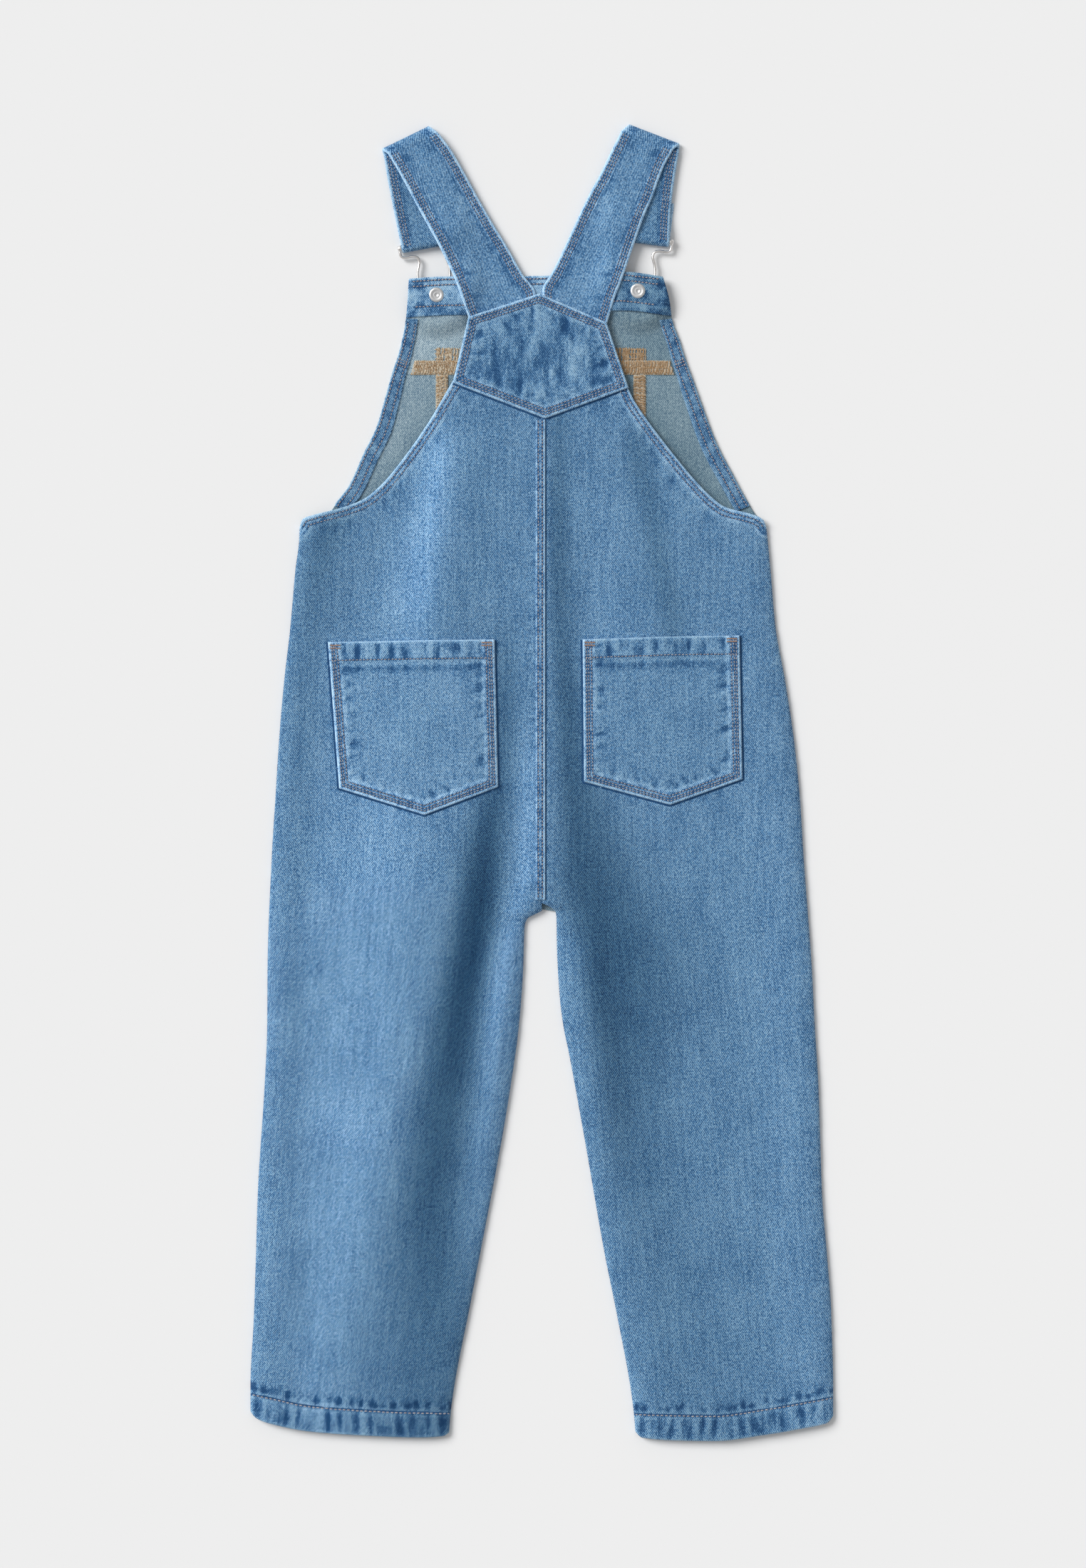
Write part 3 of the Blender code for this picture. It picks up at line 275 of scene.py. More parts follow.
# Painted light and shade of the back's folds, with some fading that washing left along them
FOLD_LIGHT_AND_SHADE = (
    # rows of y, x, widths to the left and right, strength above or below the plain colour
    (  # the ridge below the left armhole, in painted light
        (232, -62, 8, 10, 0), (200, -64, 14, 12, 0.42), (120, -76, 26, 14, 0.40),
        (70, -84, 34, 16, 0.18), (20, -96, 44, 26, 0.16), (-20, -100, 50, 34, 0.30),
        (-120, -110, 60, 38, 0.34), (-220, -116, 50, 30, 0.34), (-300, -128, 40, 26, 0.32),
        (-360, -142, 24, 26, 0.26), (-400, -148, 20, 24, 0.10),
    ),
    (  # the hollow left of the centre seam, and on down the left leg, in painted shade
        (110, -22, 9, 9, 0), (60, -24, 10, 10, -0.42), (0, -27, 12, 9, -0.62),
        (-30, -33, 12, 10, -0.92), (-60, -36, 13, 10, -1.24), (-105, -43, 13, 10, -1.32),
        (-135, -49, 14, 11, -1.20), (-168, -54, 17, 13, -0.98), (-203, -61, 19, 15, -0.84),
        (-240, -66, 21, 17, -0.72), (-275, -68, 24, 19, -0.66), (-310, -67, 27, 22, -0.58),
        (-345, -66, 34, 22, -0.48), (-400, -70, 40, 24, -0.36),
    ),
    (  # the narrow ridge along the left leg's inner edge, in painted light
        (50, -10, 6, 6, 0), (20, -8, 7, 6, 0.16), (-50, -9, 8, 7, 0.34), (-80, -16, 8, 8, 0.30),
        (-120, -24, 8, 8, 0.28), (-170, -31, 8, 8, 0.14), (-230, -33, 8, 8, 0),
    ),
    (  # the hollow right of the centre seam, and on down the right leg, in painted shade
        (215, 9, 5, 8, -0.30), (150, 9, 5, 9, -0.42), (96, 11, 6, 10, -0.40),
        (60, 15, 7, 10, -0.56), (25, 17, 8, 12, -0.66), (-20, 21, 10, 22, -0.70),
        (-55, 25, 13, 33, -0.76), (-80, 32, 17, 38, -0.84), (-105, 36, 12, 44, -0.86),
        (-135, 39, 12, 44, -0.78), (-168, 45, 14, 38, -0.62), (-203, 50, 16, 34, -0.46),
        (-240, 54, 16, 36, -0.34), (-300, 70, 22, 44, -0.18), (-400, 100, 40, 50, -0.16),
    ),
    (  # the streak below the right armhole, in painted shade
        (226, 56, 6, 6, 0), (202, 59, 8, 8, -0.34), (175, 66, 9, 8, -0.34), (130, 74, 9, 9, -0.34),
        (96, 80, 8, 9, -0.30), (60, 82, 8, 8, 0),
    ),
    (  # the shaded side under the left armhole
        (176, -119, 10, 10, -0.30), (150, -134, 12, 12, -0.42), (110, -142, 12, 14, -0.26),
        (60, -148, 10, 12, -0.16), (-60, -152, 10, 10, -0.14), (-200, -156, 10, 10, -0.16),
    ),
    (  # the paler right half of the back, beside the hollow, in painted light
        (206, 36, 12, 12, 0), (165, 40, 16, 14, 0.11), (105, 44, 16, 14, 0.11), (60, 48, 14, 14, 0),
    ),
    (  # the lighter side of the right leg, in painted light
        (40, 138, 30, 20, 0.04), (-60, 146, 26, 20, 0.10), (-400, 166, 20, 20, 0.08),
    ),
)

# What each sheet of cloth was cut to, as it shows
CUTS = {
    # piece: width, length, area in square metres, how it is held, what it lies on
    "front_left": (0.180, 0.655, 0.0943, "laid", ()),
    "front_right": (0.180, 0.657, 0.0923, "laid", ()),
    "bib": (0.182, 0.062, 0.0105, "laid", ("tack_button_left", "tack_button_right")),
    "bib_top_hem": (0.165, 0.0245, 0.0040, "folded", ("bib",)),
    "armhole_facing_left": (0.0190, 0.135, 0.00123, "laid", ("front_left",)),
    "armhole_facing_right": (0.0190, 0.135, 0.00123, "laid", ("front_right",)),
    "waist_seam": (0.162, 0.0104, 0.00138, "laid", ("bib",)),
    "front_seam_left": (0.0104, 0.1015, 0.00075, "laid", ("front_left",)),
    "front_seam_right": (0.0104, 0.1015, 0.00075, "laid", ("front_right",)),
    "back_left": (0.182, 0.655, 0.0935, "laid", ("front_left",)),
    "back_right": (0.182, 0.657, 0.0910, "laid", ("front_right",)),
    "armhole_hem_left": (0.0100, 0.128, 0.00078, "folded", ("back_left",)),
    "armhole_hem_right": (0.0100, 0.125, 0.00078, "folded", ("back_right",)),
    "leg_hem_back_left": (0.110, 0.0140, 0.00150, "folded", ("back_left",)),
    "leg_hem_back_right": (0.110, 0.0140, 0.00150, "folded", ("back_right",)),
    "leg_hem_front_left": (0.110, 0.0140, 0.00150, "folded", ("front_left",)),
    "leg_hem_front_right": (0.110, 0.0140, 0.00150, "folded", ("front_right",)),
    "pocket_left": (0.104, 0.108, 0.0101, "laid", ("back_left",)),
    "pocket_right": (0.098, 0.105, 0.0095, "laid", ("back_right",)),
    "centre_back_seam": (0.0110, 0.296, 0.00172, "laid", ("back_left", "back_right")),
    "yoke": (0.109, 0.077, 0.0059, "laid", ("back_left", "back_right")),
    "strap_left": (0.0375, 0.232, 0.0086, "folded", ("buckle_wire_left",)),
    "strap_right": (0.0375, 0.232, 0.0086, "folded", ("buckle_wire_right",)),
}

built = {}    # what later pieces need of each piece of cloth


def sizes():
    """The sizes that a user may change."""
    return bpy.context.scene.overalls_sizes


def colours():
    """The colours that a user may change."""
    return bpy.context.scene.overalls_colours


# Reading the tables

def mix(a, b, share):
    """The value at a share of the way from a to b."""
    return a + (b - a) * share


def ease(share):
    """A share from 0 to 1, with soft ends."""
    share = np.clip(share, 0.0, 1.0)
    return share * share * (3.0 - 2.0 * share)


def bell(offset, width):
    """A share that is 1 at no offset and falls away on both sides."""
    return np.exp(-(offset / width) ** 2)


def fallen(distance, radius):
    """How far a rounded edge has fallen, as a share of its radius, at a distance from its end."""
    return 1.0 - np.sqrt(1.0 - np.clip(1.0 - distance / radius, 0.0, 1.0) ** 2)


def read(table, place, column=1):
    """Values of a column at places along the table's first column, on a smooth curve."""
    rows = np.array(sorted(table), float)
    keys, values = rows[:, 0], rows[:, column]
    slopes = np.diff(values) / np.diff(keys)
    before, after = slopes[:-1], slopes[1:]
    same = before * after > 0.0
    total = np.where(same, before + after, 1.0)
    inner = np.where(same, 2.0 * before * after / total, 0.0)
    tangents = np.concatenate([slopes[:1], inner, slopes[-1:]])
    place = np.clip(place, keys[0], keys[-1])
    i = np.clip(np.searchsorted(keys, place, side="left") - 1, 0, len(keys) - 2)
    width = keys[i + 1] - keys[i]
    t = (place - keys[i]) / width
    return (values[i] * (2 * t ** 3 - 3 * t ** 2 + 1) + tangents[i] * width * (t ** 3 - 2 * t ** 2 + t)
            + values[i + 1] * (3 * t ** 2 - 2 * t ** 3) + tangents[i + 1] * width * (t ** 3 - t ** 2))


def straight(table, place, column=1):
    """Values of a column at places along the table's first column, on straight lines."""
    rows = np.array(sorted(table), float)
    return np.interp(place, rows[:, 0], rows[:, column])


def spread(length, step, edge=0.5):
    """Shares of a length at even steps, closer at both ends for a rounded edge."""
    near = [0.0, edge, edge * 2.4, edge * 4.4]
    count = max(int(round((length - 2.0 * near[-1]) / step)), 2)
    middle = list(np.linspace(near[-1], length - near[-1], count + 1))
    return np.array(near[:-1] + middle + [length - n for n in near[-2::-1]]) / length


# Paths on the cloth

def nearest(path, x, y):
    """Distance of places from a path, and how far along it the nearest point lies."""
    best = np.full(np.shape(x), np.inf)
    along = np.zeros(np.shape(x))
    run = 0.0
    for (x0, y0), (x1, y1) in zip(path, path[1:]):
        dx, dy = x1 - x0, y1 - y0
        length = math.hypot(dx, dy)
        t = np.clip(((x - x0) * dx + (y - y0) * dy) / length ** 2, 0.0, 1.0)
        gap = np.hypot(x - x0 - t * dx, y - y0 - t * dy)
        closer = gap < best
        best = np.where(closer, gap, best)
        along = np.where(closer, run + t * length, along)
        run += length
    return best, along


def inset(path, distance, closed=False):
    """A path moved to its left by a distance, with mitred corners."""
    points = np.array(path, float)
    moved = []
    count = len(points)
    for k in range(count):
        before = points[k] - points[k - 1] if k > 0 or closed else None
        after = points[(k + 1) % count] - points[k] if k < count - 1 or closed else None
        before = after if before is None else before
        after = before if after is None else after
        left_a = np.array([-before[1], before[0]]) / np.hypot(*before)
        left_b = np.array([-after[1], after[0]]) / np.hypot(*after)
        both = left_a + left_b
        moved.append(points[k] + both * (2.0 * distance / (both @ both)))
    if closed:
        moved.append(moved[0])
    return np.array(moved)


def run_of(points):
    """How far along a flat path each of its points lies."""
    return np.concatenate([[0.0], np.cumsum(np.hypot(*np.diff(points, axis=0).T))])


def finer(path, step):
    """A path with more points, at even steps."""
    points = np.array(path, float)
    run = run_of(points)
    places = np.linspace(0.0, run[-1], max(int(run[-1] / step), 2) + 1)
    return np.stack([np.interp(places, run, points[:, k]) for k in range(points.shape[1])], axis=1)


def cut(path, start, end):
    """The part of a path between two shares of its length."""
    fine = finer(path, 1.0)
    last = len(fine) - 1
    return fine[int(round(start * last)):int(round(end * last)) + 1]


def rope(along, seed, pitch):
    """An uneven wave from -1 to 1 along a seam, like the ripples that its stitches draw up."""
    chance = np.random.RandomState(seed)
    wave = 0.0
    for share, stretch in ((0.46, 1.0), (0.30, 0.71), (0.26, 1.63), (0.18, 0.43)):
        start = chance.uniform(0.0, 6.28)
        wave = wave + share * np.sin(2.0 * math.pi * along / (pitch * stretch) + start)
    return np.clip(wave, -1.0, 1.0)


def patches(x, y, seed, wide, tall):
    """Soft random patches from -1 to 1, of a given width and height."""
    table = np.random.RandomState(seed).uniform(-1.0, 1.0, (64, 64))
    total = 0.0
    for part, size in ((0.65, 1.0), (0.35, 0.45)):
        u, v = x / (wide * size), y / (tall * size)
        i, j = np.floor(u).astype(int), np.floor(v).astype(int)
        a, b = ease(u - i), ease(v - j)
        low = mix(table[i % 64, j % 64], table[(i + 1) % 64, j % 64], a)
        high = mix(table[i % 64, (j + 1) % 64], table[(i + 1) % 64, (j + 1) % 64], a)
        total = total + part * mix(low, high, b)
    return np.clip(1.6 * total, -1.0, 1.0)


class Ripples:
    """Height, wear and painted shade that seams give to the cloth about them."""

    def __init__(self, x, y):
        self.x, self.y = x, y
        self.height = np.zeros(np.shape(x))
        self.tone = np.zeros(np.shape(x))
        self.light = np.zeros(np.shape(x))

    def seam(self, path, seed, pitch, reach, height, dark, pale, band=0.0, slant=0.3):
        """Ripples beside a sewn band along a path, with dark hollows, pale crests and a pale line by it."""
        distance, along = nearest(path, self.x, self.y)
        shifted = along + slant * distance
        wave = 0.6 * rope(shifted, seed, pitch)
        wave = wave + 0.6 * patches(shifted, distance, seed, pitch * 0.42, reach)
        beyond = distance - band
        nearness = bell(np.maximum(beyond - 0.3 * reach, 0.0), reach)
        side = ease((beyond + 0.6) / 2.4) if band else 1.0
        tone = pale * np.maximum(wave, 0.0) - dark * np.maximum(-wave - 0.05, 0.0)
        self.height += height * wave * bell(beyond, reach)
        self.tone += tone * nearness * side
        if band:
            self.tone += 0.42 * bell(beyond - 0.7, 1.3)
            self.speckle(along, distance, seed + 7, 1.0 - side)
        return distance

    def speckle(self, along, distance, seed, within):
        """The rubbed, greyed cloth of a sewn band."""
        self.tone += (0.15 + 0.75 * patches(along, distance, seed, 1.9, 1.7)) * within
        self.light += 0.16 * within

    def edge(self, path, width, pale, radius=0.7):
        """A worn, rounded edge."""
        distance = nearest(path, self.x, self.y)[0]
        self.height -= radius * fallen(distance, radius)
        self.worn(distance, width, pale)
        return distance

    def worn(self, distance, width, pale):
        """Colour rubbed off along an edge."""
        self.tone += pale * bell(distance, width)
        self.light += 0.12 * pale * bell(distance, width)

    def grooves(self, distance, rows, width=0.62, depth=0.16, dark=0.9):
        """The lines that rows of stitches press in at distances from an edge, lowered and darkened with
        painted shade.
        """
        for row in rows:
            nearness = bell(distance - row, width)
            self.height -= depth * nearness
            # painted shade in the pressed line
            self.tone -= dark * nearness

    def band(self, distance, width, height):
        """Cloth that stands up over the layers of a hem."""
        self.height += height * (1.0 - ease((distance - width + 0.6) / 1.2))


# Meshes

def to_scene(points):
    """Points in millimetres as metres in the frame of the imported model."""
    moved = np.array(points, float).reshape(-1, 3)
    moved[:, 1] -= MIDDLE_Y
    return moved * MM


def place_object(name, data):
    """A new object of these data, in the scene."""
    made = bpy.data.objects.new(name, data)
    bpy.context.scene.collection.objects.link(made)
    return made


def add_mesh(name, points, faces, finishes, numbers=None, facts=None):
    """A smooth mesh object that rides on the garment, with values stored on its points."""
    mesh = bpy.data.meshes.new(name)
    mesh.from_pydata(to_scene(points).tolist(), [], faces)
    for kind in finishes:
        mesh.materials.append(finish(kind))
    if numbers is not None:
        mesh.polygons.foreach_set("material_index", np.asarray(numbers, np.int32))
    for label, values in (facts or {}).items():
        values = np.asarray(values, np.float32)
        kind, field = ("FLOAT_VECTOR", "vector") if values.ndim == 2 else ("FLOAT", "value")
        mesh.attributes.new(label, kind, "POINT").data.foreach_set(field, values.ravel())
    mesh.shade_smooth()
    mesh.update()
    made = place_object(name, mesh)
    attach(made, BODY)
    return made


def grid_of(x, y, z):
    """Points from arrays of places and heights."""
    return np.stack([x, y, z], axis=-1)


def walls(x, y, low, high):
    """The lower and the upper grid of points of a wall of cloth."""
    return grid_of(x, y, low), grid_of(x, y, high)


def cloth(node, slot, lower, upper, finishes, grain, tone=None, light=None, bulge=0.3):
    """A closed wall of cloth between a lower and an upper grid of points, with a rounded rim.

    It stands for the solid of the same name. Its finishes are those of its upper and its lower face.
    """
    rows, columns = upper.shape[:2]
    count = rows * columns
    index = np.arange(count).reshape(rows, columns)
    quads = np.stack([index[:-1, :-1], index[:-1, 1:], index[1:, 1:], index[1:, :-1]], axis=-1)
    quads = quads.reshape(-1, 4)
    rim = np.concatenate([index[0, :], index[1:, -1], index[-1, -2::-1], index[-2:0:-1, 0]])
    i, j = rows // 2, columns // 2
    normal = np.cross(upper[i, j] - upper[i, j - 1], upper[i, j] - upper[i - 1, j])
    if normal @ (upper[i, j] - lower[i, j]) < 0.0:
        quads, rim = quads[:, ::-1], rim[::-1]
    high, low = upper.reshape(-1, 3), lower.reshape(-1, 3)
    middle = (high + low) / 2.0
    rim_rows, rim_columns = rim // columns, rim % columns
    inner = np.clip(rim_rows, 1, rows - 2) * columns + np.clip(rim_columns, 1, columns - 2)
    outward = middle[rim] - middle[inner]
    outward /= np.maximum(np.linalg.norm(outward, axis=1), 1e-9)[:, None]
    rings = []
    for share in (0.2, 0.5, 0.8):
        rings.append(mix(high[rim], low[rim], share) + outward * bulge * math.sin(math.pi * share))
    points = np.concatenate([high, low, *rings])
    levels = [rim] + [2 * count + k * len(rim) + np.arange(len(rim)) for k in range(3)] + [rim + count]
    faces = [quads, quads[:, ::-1] + count]
    for a, b in zip(levels, levels[1:]):
        faces.append(np.stack([np.roll(a, -1), a, b, np.roll(b, -1)], axis=-1))
    numbers = np.repeat([0, len(finishes) - 1, 0], [len(quads), len(quads), 4 * len(rim)])
    zeros = np.zeros(count)
    facts = {"grain": grain.reshape(-1, 3), "tone": zeros if tone is None else tone.ravel(),
             "light": zeros if light is None else light.ravel()}
    facts = {label: np.concatenate([some, some] + [some[rim]] * 3) for label, some in facts.items()}
    made = add_mesh(node + "_cloth", points, np.concatenate(faces).tolist(), finishes, numbers, facts)
    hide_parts(node)
    width, length, area, held, rests = CUTS[node]
    list(rests)
    built[node] = {"upper": upper, "lower": lower, "object": made}


def tree_of(made):
    """A search tree over a solid or a finished piece, in millimetres in the frame of the tables."""
    mesh = made.data
    points = np.empty(len(mesh.vertices) * 3)
    mesh.vertices.foreach_get("co", points)
    points = points.reshape(-1, 3) / MM
    points[:, 1] += MIDDLE_Y
    return BVHTree.FromPolygons([tuple(p) for p in points], [list(p.vertices) for p in mesh.polygons])


def solid_tree(node):
    """A search tree over a solid."""
    return tree_of(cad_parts[node])


def cloth_tree(node):
    """A search tree over a finished piece of cloth."""
    return tree_of(built[node]["object"])


def tops(tree, x, y, missing=np.nan):
    """Heights of the highest surface of a tree at places."""
    found = np.empty(np.shape(x))
    flat_x, flat_y, flat = np.ravel(x), np.ravel(y), found.reshape(-1)
    down = Vector((0.0, 0.0, -1.0))
    for k in range(flat.size):
        hit = tree.ray_cast(Vector((flat_x[k], flat_y[k], 60.0)), down)[0]
        flat[k] = missing if hit is None else hit.z
    return found


def evened(values, rounds):
    """A grid of values smoothed along both its directions, with the edges kept."""
    for _ in range(rounds):
        padded = np.pad(values, 1, mode="edge")
        values = (padded[:-2, 1:-1] + padded[2:, 1:-1] + padded[1:-1, :-2] + padded[1:-1, 2:]
                  + 4.0 * values) / 8.0
    return values


# The surface of the garment

BACK_ARMHOLE = {"left": BACK_ARMHOLE_LEFT, "right": BACK_ARMHOLE_RIGHT}
FRONT_ARMHOLE = {"left": FRONT_ARMHOLE_LEFT, "right": FRONT_ARMHOLE_RIGHT}
INSEAM = {"left": LEFT_INSEAM, "right": RIGHT_INSEAM}
HEM = {"left": LEFT_HEM, "right": RIGHT_HEM}
SIDE_COLUMN = {"left": 1, "right": 2}
SIGN = {"left": -1.0, "right": 1.0}
BOTH = ("left", "right")


def fold_sum(table, x, y):
    """Height of the folds of a table at places."""
    total = np.zeros(np.shape(x))
    for x_top, y_top, x_end, y_end, wide_left, wide_right, height in table:
        share = (y_top - y) / (y_top - y_end)
        offset = x - mix(x_top, x_end, share)
        width = np.where(offset < 0.0, wide_left, wide_right)
        ends = ease(share / FOLD_TAPER) * ease((1.0 - share) / FOLD_TAPER)
        total += height * ends * bell(offset, width)
    return total


def painted_fold_light(x, y):
    """How much lighter or darker the cloth is painted at places: the light and shade of its folds, with some
    wash fading.
    """
    total = np.zeros(np.shape(x))
    for rows in FOLD_LIGHT_AND_SHADE:
        offset = x - read(rows, y, 1)
        width = np.where(offset < 0.0, read(rows, y, 2), read(rows, y, 3))
        total += read(rows, y, 4) * bell(offset, width)
    return total


def lean(x, y):
    """How far the warp has moved sideways down the legs."""
    below = np.maximum(LEG_TOP - y, 0.0)
    return np.where(x < 0.0, -0.085, 0.085) * below


def body_grain(x, y):
    """Places along the weft and the warp on a body panel."""
    return np.stack([x - lean(x, y), y, np.zeros(np.shape(x))], axis=-1)


def outer_x(side, y):
    """Where the outer edge of one half of the body lies."""
    return read(SIDES, y, SIDE_COLUMN[side])


def inner_x(side, y):
    """Where the inner edge of a leg lies."""
    return read(INSEAM[side], y)


def side_distance(side, x, y):
    """Distance of places from the nearest rounded edge of one half of the back."""
    outer = SIGN[side] * (outer_x(side, y) - x)
    inner = SIGN[side] * (x - inner_x(side, y))
    outer = np.maximum(outer, 0.0) + np.maximum(y - SIDE_TOP, 0.0)
    inner = np.maximum(inner, 0.0) + np.maximum(y - CROTCH, 0.0)
    return np.minimum(outer, inner)


def back_walls(side, x, y):
    """Heights of the lower and the upper face of the back at places."""
    full = BACK_HEIGHT + FOLD_STRENGTH * fold_sum(FOLDS, x, y) + fold_sum(CREASES, x, y)
    below = np.maximum(read(BACK_ARMHOLE[side], x) - y, 0.0)
    full = mix(ARMHOLE_HEIGHT, full, 1.0 - np.exp(-below / ARMHOLE_FADE))
    full = mix(HEM_HEIGHT, full, ease((y - HEM_FLAT) / HEM_FADE))
    rise = np.exp(-side_distance(side, x, y) / SIDE_ROUND)
    high = mix(full, SIDE_EDGE, rise)
    slope = (full - SIDE_EDGE) / SIDE_ROUND * rise
    low = np.maximum(CLOTH + GAP, high - CLOTH * np.hypot(1.0, slope))
    return low, high


def back_top(x, y):
    """Height of the outer face of whichever half of the back lies at places."""
    return np.where(x < 0.0, back_walls("left", x, y)[1], back_walls("right", x, y)[1])


def armhole_path(side):
    """The back's armhole edge from the side seam to the yoke."""
    table = BACK_ARMHOLE[side]
    x = np.linspace(table[0][0], table[10][0], 60)
    return np.stack([x, read(table, x)], axis=1)


def on_leg(side, share, y):
    """Points at shares of a leg's width and at given places down it."""
    return np.stack([mix(outer_x(side, y), inner_x(side, y), share), y], axis=1)


def hem_path(side):
    """The edge of a leg's hem, from its outer to its inner corner."""
    share = np.linspace(0.0, 1.0, 40)
    return on_leg(side, share, read(HEM[side], share))


def hem_line(side):
    """The fold of a leg's hem as if it had no rounded corners, a little past both edges."""
    (a, y_a), (b, y_b), *_, (c, y_c), (d, y_d) = HEM[side][2:6]
    share = np.linspace(-0.02, 1.02, 40)
    y = read(HEM[side], share)
    y = np.where(share < a, y_a + (share - a) * (y_b - y_a) / (b - a), y)
    y = np.where(share > d, y_d + (share - d) * (y_d - y_c) / (d - c), y)
    return on_leg(side, share, y)


def side_path(side):
    """The outer edge of the body below the armhole."""
    y = np.linspace(-386.0, 150.0, 40)
    return np.stack([outer_x(side, y), y], axis=1)


def inseam_path(side):
    """The inner edge of a leg."""
    y = np.linspace(-396.0, CROTCH - 2.0, 40)
    return np.stack([inner_x(side, y), y], axis=1)


def pocket_outline(side):
    """A pocket's outline from its left top corner, down round its point and up to the right one."""
    rows = POCKETS[side]
    return [rows[0][1:3], rows[0][3:5], rows[1][3:5], rows[2][3:5], rows[2][1:3]]


def pocket_mouth(side):
    """A pocket's top edge."""
    return [row[1:3] for row in POCKETS[side]]


def yoke_outline():
    """The yoke's outline, round from its left bottom corner by the right."""
    bottom = [row[1:3] for row in YOKE]
    top = [row[3:5] for row in YOKE]
    return bottom + top[::-1]


def centre_line(x):
    """A line down the felled seam of the back."""
    return [(x, CENTRE_SEAM_END), (x, CENTRE_SEAM_TOP)]


def closed(path):
    """A path with its first point again at its end."""
    return list(path) + [path[0]]


def leg_places(outer, inner, hem, columns, rows):
    """Places of a leg's grid, rows from the hem up, with the hem's curve fading out above it."""
    y = np.repeat(rows[:, None], len(columns), axis=1)
    share = np.repeat(columns[None, :], len(rows), axis=0)
    bow = ease((HEM_BOW_START - y) / (HEM_BOW_START - LEG_BOTTOM))
    x = mix(outer(y), inner(y), share)
    return x, y + bow * (read(hem, share) - LEG_BOTTOM)


LEG_ROWS = np.concatenate([LEG_BOTTOM + np.array([0.0, 0.5, 1.2]), np.arange(-396.0, -374.0, 0.8),
                           np.arange(-373.4, -92.0, 1.9),
                           np.arange(-92.0, -72.0, 1.0), np.arange(-71.5, LEG_TOP - 1.0, 1.8)])


def back_places(side):
    """Places of a back panel's grid, rows from the hem up to the armhole edge."""
    columns = spread(165.0, 1.7)
    leg_x, leg_y = leg_places(lambda y: outer_x(side, y), lambda y: inner_x(side, y),
                              HEM[side], columns, LEG_ROWS)
    armhole = BACK_ARMHOLE[side]
    corner, centre = armhole[0][0], armhole[-1][0]
    heights = np.concatenate([np.arange(0.0, 217.0, 1.9), np.arange(217.8, 231.0, 0.75), [231.4, 232.0]])
    heights = heights[:, None] / 232.0
    x_top = mix(corner, centre, columns)[None, :]
    y = mix(LEG_TOP, read(armhole, x_top), heights)
    side_y = mix(LEG_TOP, SIDE_TOP, heights)
    x = mix(outer_x(side, side_y), centre, columns[None, :])
    return np.concatenate([leg_x, x]), np.concatenate([leg_y, y])


def back_ripples(side, x, y):
    """What the seams do to a back panel."""
    marks = Ripples(x, y)
    high = sizes().ripple_height / MM
    seed = 10 if side == "left" else 20
    armhole = armhole_path(side)
    distance = marks.seam(armhole, seed + 1, 10.0, 6.0, high, 1.0, 0.4, band=6.0)
    marks.band(distance, 6.2, 0.35)
    marks.grooves(distance, ARMHOLE_ROWS)
    marks.edge(armhole, 1.3, 1.0)
    distance, along = nearest(hem_line(side), x, y)
    wave = 0.75 * rope(along + 0.1 * distance, seed + 2, 9.0)
    wave = wave + 0.45 * patches(along, distance, seed + 2, 4.0, 13.0)
    inside = 1.0 - ease((distance - LEG_HEM + 0.6) / 1.2)
    middle = np.sin(math.pi * np.clip(distance / LEG_HEM, 0.0, 1.0)) ** 0.6
    beyond = distance - LEG_HEM
    blobs = 0.6 * rope(along, seed + 8, 7.0) + 0.6 * patches(along, distance, seed + 9, 3.2, 4.5)
    above = bell(beyond - 4.6, 3.0) * (1.0 - inside)
    marks.height += wave * 0.30 * inside + blobs * 0.2 * above + 0.45 * inside
    marks.tone += (0.55 * np.maximum(wave, 0.0) - 2.3 * np.maximum(-wave + 0.10, 0.0) * middle) * inside
    marks.tone += (0.25 * np.maximum(blobs, 0.0) - 2.2 * np.maximum(-blobs + 0.16, 0.0)) * above
    marks.tone += 0.55 * bell(beyond - 1.9, 1.1) + 0.3 * bell(beyond + 1.9, 0.9)
    marks.grooves(distance, (LEG_HEM,), depth=0.3)
    marks.edge(hem_path(side), 1.2, 0.6)
    marks.seam(side_path(side), seed + 3, 13.0, 7.0, high * 0.8, 0.30, 0.16)
    marks.seam(inseam_path(side), seed + 4, 12.0, 6.0, high * 0.8, 0.30, 0.16)
    edge_x = CENTRE_SEAM[0 if side == "left" else 1]
    marks.seam(centre_line(edge_x), seed + 5, 8.0, 4.5, high, 0.62, 0.30)
    marks.seam(pocket_outline(side), seed + 6, 9.0, 4.5, high * 0.8, 0.50, 0.25)
    marks.seam(yoke_outline()[:3], seed + 7, 10.0, 6.0, high, 0.70, 0.30)
    return marks


def make_backs():
    """The two back panels, arched over the fronts, with side edges that close down onto them."""
    for side in BOTH:
        x, y = back_places(side)
        low, high = back_walls(side, x, y)
        marks = back_ripples(side, x, y)
        high = high + marks.height
        distance = side_distance(side, x, y)
        high = high - 1.1 * fallen(distance, 1.6)
        low = np.maximum(CLOTH + 0.1, np.minimum(low, high - 0.9))
        low = mix(low, 0.5, np.clip(1.0 - distance, 0.0, 1.0))
        # the back's colour carries the painted light and shade of its folds
        cloth("back_" + side, "denim", *walls(x, y, low, high), ("denim", "denim_inside"),
              body_grain(x, y), marks.tone, painted_fold_light(x, y) + marks.light, bulge=0.35)


# The front, seen through the armholes and from below

